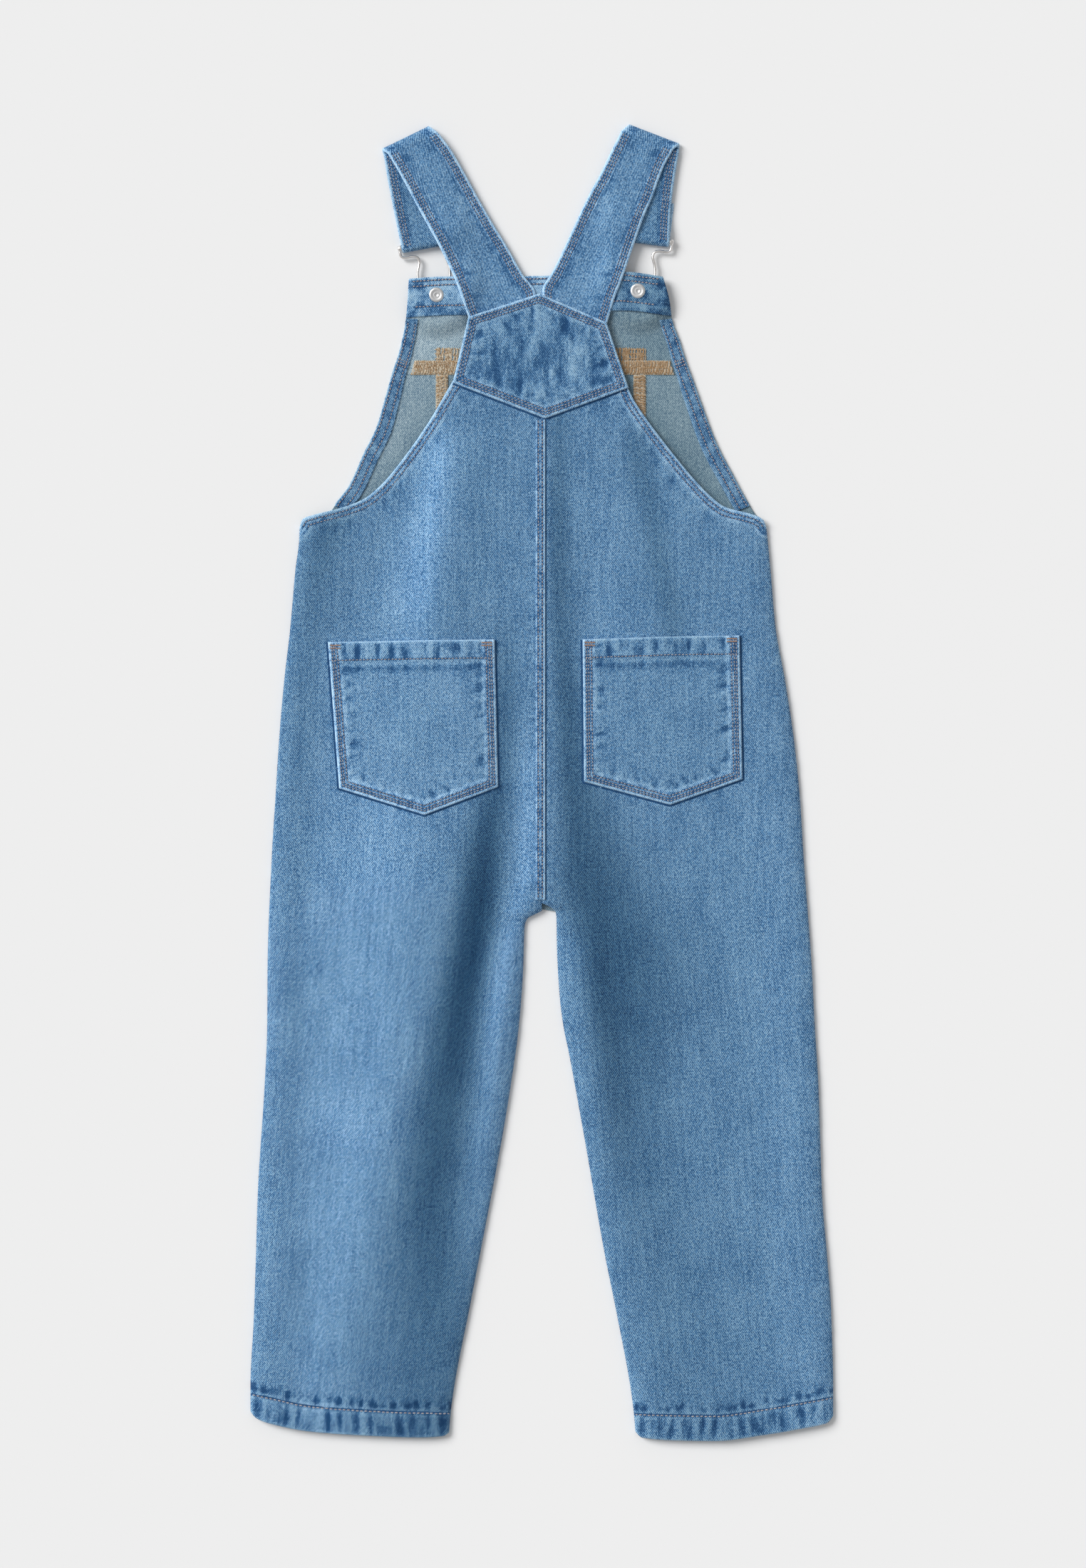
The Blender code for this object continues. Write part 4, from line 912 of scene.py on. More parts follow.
def front_places(side):
    """Places of a front leg's grid, rows from the hem up to the waist seam."""
    columns = spread(165.0, 3.0, 0.6)
    sign = SIGN[side]

    def outer(y):
        below = outer_x(side, y) - sign * FRONT_INSET
        return np.where(y < SIDE_TOP, below, read(FRONT_ARMHOLE[side], y) - sign * FRONT_EDGE)

    def inner(y):
        leg = inner_x(side, y) + sign * FRONT_INSET
        return np.where(y < CROTCH, leg, sign * GAP / 2.0)

    rows = np.concatenate([np.arange(LEG_BOTTOM + FRONT_INSET, -94.0, 3.2),
                           np.arange(-93.0, -72.0, 1.5), np.arange(-70.0, 150.0, 3.2),
                           np.arange(151.0, WAIST_SEAM - 1.0, 1.2),
                           [WAIST_SEAM - 0.8, WAIST_SEAM - GAP / 2.0]])
    return leg_places(outer, inner, HEM[side], columns, rows)


def make_fronts():
    """The two front leg panels, face down on the floor."""
    for side in BOTH:
        x, y = front_places(side)
        marks = Ripples(x, y)
        seed = 30 if side == "left" else 40
        edge = [(px, py) for py, px in FRONT_ARMHOLE[side] if py < WAIST_SEAM + 3.0]
        seam_x = FRONT_SEAMS[side]
        upright = [(seam_x, FRONT_SEAM_END), (seam_x, WAIST_SEAM)]
        marks.seam(edge, seed, 9.0, 8.0, 0.22, 0.25, 0.15)
        marks.seam(upright, seed + 1, 8.0, 7.0, 0.22, 0.25, 0.15)
        rise = 0.5 * ease((y - SIDE_TOP + 30.0) / 40.0) * bell(x - seam_x, 24.0)
        # painted shade: the right front darker, and darker still under the back's armhole edges
        shade = -0.16 if side == "right" else 0.05
        high = CLOTH + np.maximum(marks.height, -0.3) + rise
        light = np.full(x.shape, shade) - 0.22 * bell(nearest(armhole_path(side), x, y)[0], 9.0)
        cloth("front_" + side, "denim_inside", *walls(x, y, np.zeros(x.shape), high),
              ("denim_inside", "denim"), body_grain(x, y), marks.tone, light, bulge=0.2)


def bar_frame(side):
    """Middle of a buckle's bar, the direction along it and the direction away from the strap."""
    x0, y0, x1, y1 = STRAP_FRONT[side][-1]
    along = np.array([x1 - x0, y1 - y0])
    along = along / np.hypot(*along)
    away = np.array([along[1], -along[0]])
    if away[1] > 0.0:
        away = -away
    centre = np.array([(x0 + x1) / 2.0, (y0 + y1) / 2.0]) - away * (WIRE_R + GAP + STRAP)
    return centre, along, away


def along_bar(side, across, down):
    """A place given along a buckle's bar and away from it, with the buckle's outward lean."""
    centre, along, away = bar_frame(side)
    return centre + along * (across - BUTTON_OUTWARD * ease(down / BAR_TO_BUTTON)) + away * down


def button_places():
    """Centres of the two buttons."""
    return {side: along_bar(side, 0.0, BAR_TO_BUTTON) for side in BOTH}


def bib_lift(x, y):
    """How far the bib rises over the buttons at places."""
    lift = np.zeros(np.shape(x))
    for bx, by in button_places().values():
        distance = np.hypot(x - bx, y - by)
        lift = np.maximum(lift, BIB_LIFT * (1.0 - ease((distance - LIFT_FLAT) / LIFT_FADE)))
    return lift


def bib_places(shares, heights):
    """Places on the bib by their shares of its width and height."""
    bottom = WAIST_SEAM + GAP / 2.0
    y = mix(bottom, BIB_CORNER, heights)
    left = read(FRONT_ARMHOLE_LEFT, y) + FRONT_EDGE
    right = read(FRONT_ARMHOLE_RIGHT, y) - FRONT_EDGE
    x = mix(left, right, shares)
    return x, mix(bottom, read(BIB_TOP, x), heights)


def front_top(x, y):
    """Height of the inside of the front and the bib at places."""
    return CLOTH + np.where(y > WAIST_SEAM, bib_lift(x, y), 0.0)


def make_bib():
    """The bib, face down over the two buttons."""
    shares = spread(170.0, 1.5)[None, :]
    heights = spread(60.0, 1.5)[:, None]
    x, y = bib_places(*np.broadcast_arrays(shares, heights))
    marks = Ripples(x, y)
    marks.seam([(-90.0, 289.0), (85.0, 289.0)], 51, 9.0, 7.0, 0.2, 0.3, 0.15)
    waist = WAIST_SEAM + 5.0
    marks.seam([(-90.0, waist), (90.0, waist)], 52, 8.0, 6.0, 0.2, 0.3, 0.2)
    low = bib_lift(x, y)
    # painted shade over the bib's right half, and painted light as paler tone over its left; the patches are
    # random tone
    light = 0.12 - 0.34 * ease((x + 30.0) / 90.0) + 0.06 * patches(x, y, 57, 12.0, 9.0)
    marks.tone += 0.3 * ease((20.0 - x) / 60.0)
    cloth("bib", "denim_inside", *walls(x, y, low, low + CLOTH + marks.height * 0.6),
          ("denim_inside", "denim"), body_grain(x, y), marks.tone, light, bulge=0.2)


def make_bib_hem():
    """The bib's top hem, turned to the inside."""
    bottom = WAIST_SEAM + GAP / 2.0
    shares = spread(165.0, 1.1)[None, :]
    depths = (BIB_HEM_DEPTH * (1.0 - spread(BIB_HEM_DEPTH, 1.0)))[:, None]
    shares, depths = np.broadcast_arrays(shares, depths)
    y_top = bib_places(shares, np.ones(shares.shape))[1]
    x, y = bib_places(shares, (y_top - depths - bottom) / (y_top - bottom))
    marks = Ripples(x, y)
    marks.seam(inset(BIB_TOP, -10.5), 53, 10.5, 7.0, 0.28, 1.9, 0.9)
    marks.tone += 1.25 * patches(x, y, 58, 4.2, 6.0) + 0.25
    distance = marks.edge(BIB_TOP, 1.1, 1.0)
    marks.grooves(distance, BIB_HEM_ROWS)
    marks.edge(inset(BIB_TOP, -BIB_HEM_DEPTH), 0.7, 0.3)
    low = front_top(x, y) + LAP
    # painted shade over the hem's right half
    light = marks.light + 0.10 - 0.42 * ease((x - 10.0) / 50.0)
    cloth("bib_top_hem", "denim", *walls(x, y, low, low + TRIM + 0.15 + marks.height), ("denim",),
          body_grain(x, y), marks.tone, light)


def facing_grid(side):
    """Places of an armhole facing, rows from the side seam up to the bib's hem."""
    top = BIB_CORNER - BIB_HEM_DEPTH - FACING_BELOW_HEM
    sign = SIGN[side]
    y_edge = mix(FACING_BOTTOM, top, spread(135.0, 1.3, 0.4))
    armhole = FRONT_ARMHOLE[side]
    x_edge = read(armhole, y_edge) - sign * FRONT_EDGE
    slope = read(armhole, y_edge + 0.5) - read(armhole, y_edge - 0.5)
    inward = np.stack([np.full(slope.shape, -sign), sign * slope], axis=1)
    inward /= np.linalg.norm(inward, axis=1)[:, None]
    inward[:, 0] -= sign * 0.4
    inward /= np.linalg.norm(inward, axis=1)[:, None]
    width = read(FACING_WIDTHS, y_edge)
    shares = spread(9.0, 0.9, 0.3)
    x = x_edge[:, None] + inward[:, :1] * width[:, None] * shares
    y = y_edge[:, None] + inward[:, 1:] * width[:, None] * shares
    return x, y


def make_facings():
    """Narrow facings inside the front's armhole edges."""
    for side in BOTH:
        x, y = facing_grid(side)
        marks = Ripples(x, y)
        outer = list(zip(x[:, 0], y[:, 0]))[::6]
        distance = marks.seam(outer, 54, 9.0, 14.0, 0.2, 0.9, 0.4)
        marks.edge(outer, 0.8, 0.8)
        marks.grooves(distance, FACING_ROWS)
        marks.edge(list(zip(x[:, -1], y[:, -1]))[::6], 0.6, 0.3, radius=0.4)
        low = front_top(x, y) + LAP
        cloth("armhole_facing_" + side, "denim", *walls(x, y, low, low + TRIM + marks.height), ("denim",),
              body_grain(x, y), marks.tone + 0.25, marks.light - 0.12)


def make_inside_seams():
    """Overlocked seam allowances across the waist and upright in each front."""
    low_y, high_y = WAIST_SEAM - 0.2, WAIST_SEAM + WAIST_STRIP
    shares, heights = np.meshgrid(spread(162.0, 1.4), spread(WAIST_STRIP, 0.9, 0.4))
    left = mix(WAIST_STRIP_BOTTOM[0], WAIST_STRIP_TOP[0], heights)
    right = mix(WAIST_STRIP_BOTTOM[1], WAIST_STRIP_TOP[1], heights)
    strip("waist_seam", mix(left, right, shares), mix(low_y, high_y, heights), 55)
    half = FRONT_SEAM_WIDTH / 2.0
    for side in BOTH:
        middle = FRONT_SEAMS[side]
        shares, heights = np.meshgrid(spread(FRONT_SEAM_WIDTH, 0.9, 0.4), spread(101.0, 1.4))
        strip("front_seam_" + side, mix(middle - half, middle + half, shares),
              mix(FRONT_SEAM_END, low_y - 0.1, heights), 56)


def strip(node, x, y, seed):
    """A narrow overlocked strip that lies on the inside."""
    low = np.full(x.shape, CLOTH + LAP) + np.where(y > WAIST_SEAM, bib_lift(x, y), 0.0)
    wave = 0.12 * rope(x + 0.7 * y, seed, 7.0)
    cloth(node, "overlock_thread", *walls(x, y, low, low + TRIM * 0.75 + wave), ("overlock_ground",),
          grid_of(x, y, 0.0 * x), wave * 2.0, bulge=0.15)


def make_inner_hems():
    """Hems turned in along the back's armhole edges and at the ends of the legs."""
    for side in BOTH:
        armhole = BACK_ARMHOLE[side]
        start = armhole[0][0]
        edge_x = np.linspace(start - math.copysign(ARMHOLE_HEM_INSET, start), armhole[-4][0], 90)
        slope = read(armhole, edge_x + 0.4) - read(armhole, edge_x - 0.4)
        inward = np.stack([slope, np.full(slope.shape, -0.8)], axis=1)
        inward /= np.linalg.norm(inward, axis=1)[:, None]
        depths = mix(ARMHOLE_HEM, ARMHOLE_HEM_EDGE, spread(6.0, 1.0, 0.3))
        x = edge_x[:, None] + inward[:, :1] * depths
        y = read(armhole, edge_x)[:, None] + inward[:, 1:] * depths
        high = back_walls(side, x, y)[0] - 0.45
        cloth("armhole_hem_" + side, "denim", *walls(x, y, high - TRIM, high), ("denim",),
              body_grain(x, y), light=np.full(x.shape, -0.2), bulge=0.15)
        corner_y = HEM[side][0][1]
        outer, inner = outer_x(side, corner_y), inner_x(side, corner_y)
        margin = LEG_HEM_INSET / abs(inner - outer)
        for wall in ("front", "back"):
            shares, depths = np.meshgrid(mix(margin, 1.0 - margin, spread(112.0, 2.5)),
                                         mix(LEG_HEM_EDGE, LEG_HEM, spread(13.8, 1.4)))
            x, y = mix(outer, inner, shares), read(HEM[side], shares) + depths
            if wall == "front":
                low = np.full(x.shape, CLOTH + GAP)
            else:
                low = back_walls(side, x, y)[0] - 0.5 - TRIM
            cloth("leg_hem_" + wall + "_" + side, "denim_inside", *walls(x, y, low, low + TRIM),
                  ("denim",), body_grain(x, y), light=np.full(x.shape, -0.2), bulge=0.15)


# What is sewn on the back

def make_pockets():
    """Patch pockets with a pointed bottom and a hemmed mouth."""
    for side in BOTH:
        rows = POCKETS[side]
        width = rows[2][1] - rows[0][1]
        shares, heights = np.meshgrid(spread(width, 0.85, 0.4), spread(98.0, 0.85, 0.4))
        top_x, top_y = straight(rows, shares, 1), straight(rows, shares, 2)
        end_x, end_y = straight(rows, shares, 3), straight(rows, shares, 4)
        x, y = mix(end_x, top_x, heights), mix(end_y, top_y, heights)
        marks = Ripples(x, y)
        seed = 60 if side == "left" else 70
        outline = pocket_outline(side)
        high = sizes().ripple_height / MM
        distance = marks.seam(outline, seed, 9.0, 5.5, high, 1.6, 0.45, band=7.0)
        marks.band(distance, 7.4, 0.25)
        marks.grooves(distance, POCKET_ROWS)
        marks.edge(outline, 1.2, 1.1)
        distance, along = nearest(pocket_mouth(side), x, y)
        wave = 0.65 * rope(along, seed + 1, 9.8) + 0.5 * patches(along, distance, seed + 1, 4.4, 12.0)
        hem = 1.0 - ease(distance - POCKET_HEM + 0.4)
        middle = np.sin(math.pi * np.clip((distance - 0.6) / (POCKET_HEM - 1.6), 0.0, 1.0)) ** 0.6
        beyond = distance - POCKET_HEM
        below = bell(beyond - 4.2, 2.6) * (1.0 - hem)
        hollow = 2.3 * np.maximum(-wave + 0.06, 0.0) * middle
        marks.height += 0.4 * hem + 0.24 * wave * (hem + below)
        marks.tone += (0.5 * np.maximum(wave, 0.0) + 0.15 - hollow) * hem
        marks.tone -= (0.45 + 1.1 * np.maximum(-wave, 0.0)) * below
        marks.tone += 0.5 * bell(beyond - 1.4, 1.1)
        marks.grooves(beyond, (-MOUTH_ROW,), depth=0.2)
        marks.edge(pocket_mouth(side), 0.9, 0.9)
        crown = 0.5 * np.sin(math.pi * shares) * np.sin(math.pi * np.clip(heights * 1.1, 0.0, 1.0))
        low = back_top(x, y) + LAP
        top = low + CLOTH + 0.2 + marks.height + crown
        # part of the painted light and shade of the back's folds, and the left pocket 0.11 lighter
        light = 0.35 * painted_fold_light(x, y) + marks.light + (0.11 if side == "left" else 0.0)
        cloth("pocket_" + side, "denim", *walls(x, y, low, top), ("denim", "denim_inside"),
              grid_of(x + 7.3, y, 0.0 * x), marks.tone + 0.06, light)


def make_centre_seam():
    """The felled seam down the middle of the back."""
    width = CENTRE_SEAM[1] - CENTRE_SEAM[0]
    shares, heights = np.meshgrid(spread(width, 0.7, 0.3), spread(295.0, 0.9))
    x = mix(CENTRE_SEAM[0], CENTRE_SEAM[1], shares)
    y = mix(CENTRE_SEAM_END, CENTRE_SEAM_TOP, heights)
    marks = Ripples(x, y)
    wave = 0.6 * rope(y + 0.8 * x, 80, 7.5) + 0.6 * patches(y, x, 80, 3.5, 4.0)
    marks.height += 0.16 * wave
    marks.tone += 0.3 * np.maximum(wave, 0.0) - 0.9 * np.maximum(-wave, 0.0)
    marks.speckle(y, x, 84, 1.0)
    marks.grooves(x, CENTRE_ROWS)
    marks.edge(centre_line(CENTRE_SEAM[1]), 0.9, 1.6, radius=0.5)
    marks.edge(centre_line(CENTRE_SEAM[0]), 0.6, 0.4, radius=0.5)
    low = back_top(x, y) + 0.1
    # half of the painted light and shade of the back's folds
    cloth("centre_back_seam", "denim", *walls(x, y, low, low + TRIM + marks.height), ("denim",),
          grid_of(x + 11.7, y + 3.1, 0.0 * x), marks.tone, 0.5 * painted_fold_light(x, y) + marks.light, bulge=0.15)


def make_yoke():
    """The five-sided yoke, over the ends of the straps and the tops of the back panels."""
    shares, heights = np.meshgrid(spread(108.0, 0.8, 0.4), spread(66.0, 0.8, 0.4))
    x = mix(straight(YOKE, shares, 1), straight(YOKE, shares, 3), heights)
    y = mix(straight(YOKE, shares, 2), straight(YOKE, shares, 4), heights)
    top = tops(solid_tree("yoke"), mix(0.0, x, 0.985), y - (y - 262.0) * 0.015)
    top = np.where(np.isnan(top), np.nanmean(top), top)
    top = evened(top, 40)
    marks = Ripples(x, y)
    outline = yoke_outline()
    distance = marks.seam(closed(outline), 81, 9.5, 8.0, 0.42, 1.6, 0.5, band=5.8)
    cloud = 0.8 * patches(x, y, 82, 6.5, 14.0) + 0.7 * patches(x, y, 83, 3.2, 7.0)
    within = ease((distance - 6.0) / 5.0)
    marks.height += 0.22 * cloud * within
    marks.tone += (0.75 * cloud - 0.12) * within + 0.45 * bell(x + 6.0, 6.0) * within
    marks.band(distance, 6.0, 0.3)
    marks.grooves(distance, YOKE_ROWS)
    marks.edge(closed(outline), 1.2, 1.1)
    crown = 0.5 * np.sin(math.pi * shares) * np.sin(math.pi * heights)
    cloth("yoke", "denim", *walls(x, y, top - CLOTH, top + marks.height + crown), ("denim", "denim_inside"),
          grid_of(x + 3.9, y, 0.0 * x), marks.tone - 0.02, marks.light)


# Straps

def across(row, share):
    """Places across a strap between its outer and inner edge."""
    x0, y0, x1, y1 = row
    return np.stack([mix(x0, x1, share), mix(y0, y1, share)], axis=-1)


def at_height(places, z):
    """Points at places, all at one height or each at its own."""
    return np.column_stack([places, np.broadcast_to(z, len(places))])


def resampled(rows, step):
    """Rows of a strap at even steps along it, on smooth curves."""
    rows = np.array(rows, float)
    run = run_of((rows[:, :2] + rows[:, 2:]) / 2.0)
    places = np.linspace(0.0, run[-1], int(run[-1] / step) + 1)
    return np.stack([read(list(zip(run, rows[:, k])), places) for k in range(4)], axis=1)


def strap_rows(side, shares):
    """Middle points of a strap's wall, from the yoke over the fold and round the buckle's bar."""
    away = bar_frame(side)[2]
    wrap_r = WIRE_R + GAP + STRAP / 2.0
    floor = STRAP / 2.0
    over_bar = WIRE_Z + wrap_r
    front = [np.array(row) for row in STRAP_FRONT[side]]
    shift = np.concatenate([away, away]) * (wrap_r + STRAP / 2.0)
    bar = front[-1] - shift
    stretch = []
    for row in resampled(front[:-1] + [bar], 1.5):
        distance = (bar[:2] - row[:2]) @ away
        clear = STRAP + GAP
        z = floor + clear * ease((STRAP_RETURN + STRAP_CLIMB - distance) / (STRAP_CLIMB - 1.0))
        z = max(z, mix(over_bar, floor + clear, ease(distance / BAR_CLIMB)))
        stretch.append(at_height(across(row, shares), z))
    wrap = []
    for angle in np.linspace(0.0, math.pi, 13):
        places = across(bar, shares) + away * (wrap_r * math.sin(angle))
        wrap.append(at_height(places, WIRE_Z + wrap_r * math.cos(angle)))
    tail = []
    for length in np.linspace(2.0, STRAP_RETURN, 12):
        tail.append(at_height(across(bar, shares) - away * length, WIRE_Z - wrap_r))

    back = resampled(STRAP_BACK[side], 1.3)
    places = np.array([across(row, shares) for row in back])
    middle = places.mean(axis=1, keepdims=True)
    probe = mix(middle, places, 0.97)
    fold_top = floor + 2.0 * STRAP_FOLD_R + STRAP / 2.0
    top = evened(tops(solid_tree("strap_" + side), probe[..., 0], probe[..., 1], fold_top), 30)
    back_rows = [at_height(p, z - STRAP / 2.0) for p, z in zip(places, top)]
    fold_z = floor + STRAP_FOLD_R
    start_z = back_rows[-1][:, 2]
    fold = []
    for angle in np.linspace(0.0, math.pi, 14)[1:-1]:
        first = places[-1] if angle <= math.pi / 2.0 else across(front[0], shares)
        spot = mix(first, across(STRAP_CREST[side], shares), math.sin(angle))
        rise = (start_z - fold_z) if angle <= math.pi / 2.0 else STRAP_FOLD_R
        fold.append(at_height(spot, fold_z + rise * math.cos(angle)))
    return np.array(back_rows + fold + stretch + wrap + tail), len(back_rows)


def make_straps():
    """Each strap, from the yoke over the fold at the top to the buckle's bar."""
    for side in BOTH:
        shares = spread(36.0, 0.8, 0.35)
        middle, fold_start = strap_rows(side, shares)
        before = np.concatenate([middle[:1], middle[:-1]])
        after = np.concatenate([middle[1:], middle[-1:]])
        ahead = after - before
        sideways = middle[:, -1] - middle[:, 0]
        normal = np.cross(sideways[:, None, :], ahead)
        normal /= np.maximum(np.linalg.norm(normal, axis=2), 1e-9)[..., None]
        if normal[0, 0, 2] < 0.0:
            normal = -normal
        steps = np.linalg.norm(np.diff(middle.mean(axis=1), axis=0), axis=1)
        along = np.concatenate([[0.0], np.cumsum(steps)])[:, None]
        width = np.linalg.norm(sideways, axis=1)[:, None]
        u, v = np.broadcast_arrays(shares[None, :] * width, along)
        marks = Ripples(u, v)
        for edge, seed in ((u, 90), (width - u, 91)):
            wave = 0.5 * rope(v + 0.3 * edge, seed, 8.0) + 0.7 * patches(v, edge, seed, 4.0, 5.0)
            near = bell(edge - 9.0, 3.5)
            marks.height += 0.12 * wave * near + 0.12 * (1.0 - ease((edge - 6.4) / 1.2))
            marks.tone += (0.22 * np.maximum(wave, 0.0) - 0.7 * np.maximum(-wave, 0.0)) * near
            marks.speckle(v, edge, seed + 5, 1.0 - ease((edge - 6.0) / 1.4))
            marks.grooves(edge, STRAP_ROWS)
            marks.grooves(edge, (7.3,), 0.8, 0.12, 0.6)
            marks.height -= 0.55 * fallen(edge, 0.7)
            marks.worn(edge, 1.2, 1.3)
        # painted shade on the strap's front stretch, past its fold
        marks.light -= 0.20 * ease((np.arange(len(middle)) - fold_start) / 12.0)[:, None]
        thick = (STRAP / 2.0 - 0.05 + marks.height)[..., None]
        cloth("strap_" + side, "denim", middle - normal * thick, middle + normal * thick, ("denim",),
              grid_of(u, v, 0.0 * u), marks.tone + 0.04, marks.light + 0.08, bulge=0.25)
        built["strap_" + side].update(normal=normal, shares=shares, width=width, fold_start=fold_start)


# Metal

STUD_ENDS = (17.4, 20.6)    # along the bar
STUD = ((0, 1.2), (0.15, 1.7), (0.3, 1.9), (0.85, 1.9), (1, 1.3))    # share of the length, radius

# Profiles of radius and height: the dish of the button's head, its rim, its shank and the rivet's back.
# The rim's radii count from BUTTON_R, and the shank's radii and heights from SHANK_R and BUTTON_HEAD.
BUTTON_DISH = ((0.0, 0.0), (5.2, 0.0), (5.6, 0.25), (6.2, 0.25), (6.6, 0.0))
BUTTON_RIM = ((-0.6, 0.0), (-0.15, 0.2), (0.0, 0.6), (-0.1, 1.1), (-0.5, BUTTON_HEAD - 0.1),
              (-1.5, BUTTON_HEAD))
BUTTON_SHANK = ((1.6, 0.0), (0.3, 0.2), (0.0, 0.5))
RIVET_PROFILE = ((RIVET_R, 0.0), (RIVET_R + 0.02, 0.2), (RIVET_R - 0.25, 0.55), (RIVET_R - 0.8, 0.78),
                 (RIVET_R - 1.5, 0.80), (RIVET_R - 2.0, 0.62), (1.9, 0.50), (1.5, 0.62), (1.15, 0.60),
                 (0.8, 0.28), (0.0, 0.2))


def smooth_loop(points, parts):
    """A closed curve through points, with more points on it."""
    points = np.array(points, float)
    count = len(points)
    curve = []
    for k in range(count):
        a, b, c, d = (points[(k + n) % count] for n in (-1, 0, 1, 2))
        for t in np.arange(parts) / parts:
            curve.append(0.5 * (2.0 * b + (c - a) * t + (2.0 * a - 5.0 * b + 4.0 * c - d) * t ** 2
                                + (3.0 * b - a - 3.0 * c + d) * t ** 3))
    return np.array(curve)


def tube(path, radius, sides=14, closed_loop=True):
    """Points and faces of a round wire along a path."""
    path = np.array(path, float)
    count = len(path)
    if closed_loop:
        ahead = np.roll(path, -1, axis=0) - np.roll(path, 1, axis=0)
    else:
        ahead = np.gradient(path, axis=0)
    ahead /= np.linalg.norm(ahead, axis=1)[:, None]
    up = np.array([0.0, 0.0, 1.0])
    aside = np.cross(ahead, up)
    aside /= np.linalg.norm(aside, axis=1)[:, None]
    rise = np.cross(aside, ahead)
    turn = 2.0 * math.pi * np.arange(sides) / sides
    reach = np.broadcast_to(radius, (count,))[:, None, None]
    ring = path[:, None, :] + reach * (np.cos(turn)[None, :, None] * aside[:, None, :]
                                       + np.sin(turn)[None, :, None] * rise[:, None, :])
    index = np.arange(count * sides).reshape(count, sides)
    if closed_loop:
        index = np.concatenate([index, index[:1]])
    around = np.roll(index, -1, axis=1)
    quads = np.stack([index[:-1], index[1:], around[1:], around[:-1]], axis=-1).reshape(-1, 4).tolist()
    if not closed_loop:
        quads.append(index[0].tolist())
        quads.append(index[-1][::-1].tolist())
    return ring.reshape(-1, 3), quads


def lathe(centre, profile, sides=48):
    """Points and faces of a round piece about an upright axis, from its profile of radius and height."""
    points, faces, rings = [], [], []
    for radius, height in profile:
        if radius == 0.0:
            rings.append([len(points)])
            points.append((centre[0], centre[1], height))
            continue
        rings.append(list(range(len(points), len(points) + sides)))
        for k in range(sides):
            angle = 2.0 * math.pi * k / sides
            x, y = centre[0] + radius * math.cos(angle), centre[1] + radius * math.sin(angle)
            points.append((x, y, height))
    for low, high in zip(rings, rings[1:]):
        for k in range(sides):
            n = (k + 1) % sides
            if len(low) == 1:
                faces.append((low[0], high[n], high[k]))
            elif len(high) == 1:
                faces.append((low[k], low[n], high[0]))
            else:
                faces.append((low[k], low[n], high[n], high[k]))
    return np.array(points), [list(face) for face in faces]


def join(parts):
    """Several sets of points and faces as one."""
    points, faces, start = [], [], 0
    for some, their_faces in parts:
        points.append(some)
        faces += [[k + start for k in face] for face in their_faces]
        start += len(some)
    return np.concatenate(points), faces


def add_metal(node, points, faces, kind):
    """A metal piece that stands for the solid of the same name."""
    made = add_mesh(node + "_steel", points, faces, (kind,))
    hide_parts(node)


def make_buckles():
    """Each buckle is one bent wire, with a small stud at both ends of its bar."""
    for side in BOTH:
        half = list(WIRE_PATH) + [(-a, d) for a, d in WIRE_PATH[-2:0:-1]]
        loop = [(*along_bar(side, a, d), WIRE_Z) for a, d in half]
        parts = [tube(smooth_loop(loop, 6), WIRE_LOOK)]
        for end in (-1.0, 1.0):
            start, stop = (along_bar(side, end * place, 0.0) for place in STUD_ENDS)
            path = [(*mix(start, stop, share), WIRE_Z) for share, _ in STUD]
            parts.append(tube(path, np.array([radius for _, radius in STUD]), 16, closed_loop=False))
        add_metal("buckle_wire_" + side, *join(parts), "steel")


def make_buttons():
    """Tack buttons under the bib and their rivet backs on its hem."""
    for side, centre in button_places().items():
        top = BIB_LIFT - 0.1
        rim = [(BUTTON_R + r, z) for r, z in BUTTON_RIM]
        shank = [(SHANK_R + r, BUTTON_HEAD + z) for r, z in BUTTON_SHANK]
        profile = [*BUTTON_DISH, *rim, *shank, (SHANK_R, top), (0.0, top)]
        add_metal("tack_button_" + side, *lathe(centre, profile), "steel")
        seat = float(front_top(np.array(centre[0]), np.array(centre[1]))) + TRIM + 0.2
        profile = [(0.0, seat)] + [(r, seat + z) for r, z in RIVET_PROFILE]
        add_metal("rivet_back_" + side, *lathe(centre, profile), "rivet")


# Stitching

BIB_HEM_ROWS = (1.7, 4.9, 17.6)
FACING_ROWS = (1.6, 6.2)
FACING_JOINT = 260.0
JOINT_ROWS = (-1.5, 0.2, 1.8)
POCKET_ROWS = (2.0, 3.4, 5.2)
CENTRE_ROWS = (-2.2, 0.3)
YOKE_ROWS = (2.0, 3.5, 5.1)
ARMHOLE_ROWS = (2.3, 5.0)
STRAP_ROWS = (2.0, 3.6, 5.3)
# Strips of painted shade along rows of stitches and seam edges: their width and how dark they are
SHADE_STRIP_WIDTH = 0.9
SHADE_STRIP_TONE = -1.7
SEAM_SHADOW_WIDTH = 1.5    # the wider strip of painted shadow where one piece ends on another
FIRST_SEED = 100

# Overlock: rows of thread by their distance from the middle of a strip, and the pads above the waist seam
WAIST_THREADS = (-2.9, 2.4, 3.6)
UPRIGHT_THREADS = (-2.6, 2.4)
PAD_THREADS = (-2.2, 1.0, 3.4)
PADS = {"left": (-66.4, -47.0), "right": (43.0, 63.4)}
PAD_HEIGHT = 8.6
PAD_OVERLAP = 0.8
LOOP_R = 0.34


def above_floor(points):
    """Points of thread or of a strip of painted shade that don't reach the floor."""
    return np.maximum(points, [-np.inf, -np.inf, RIDE])


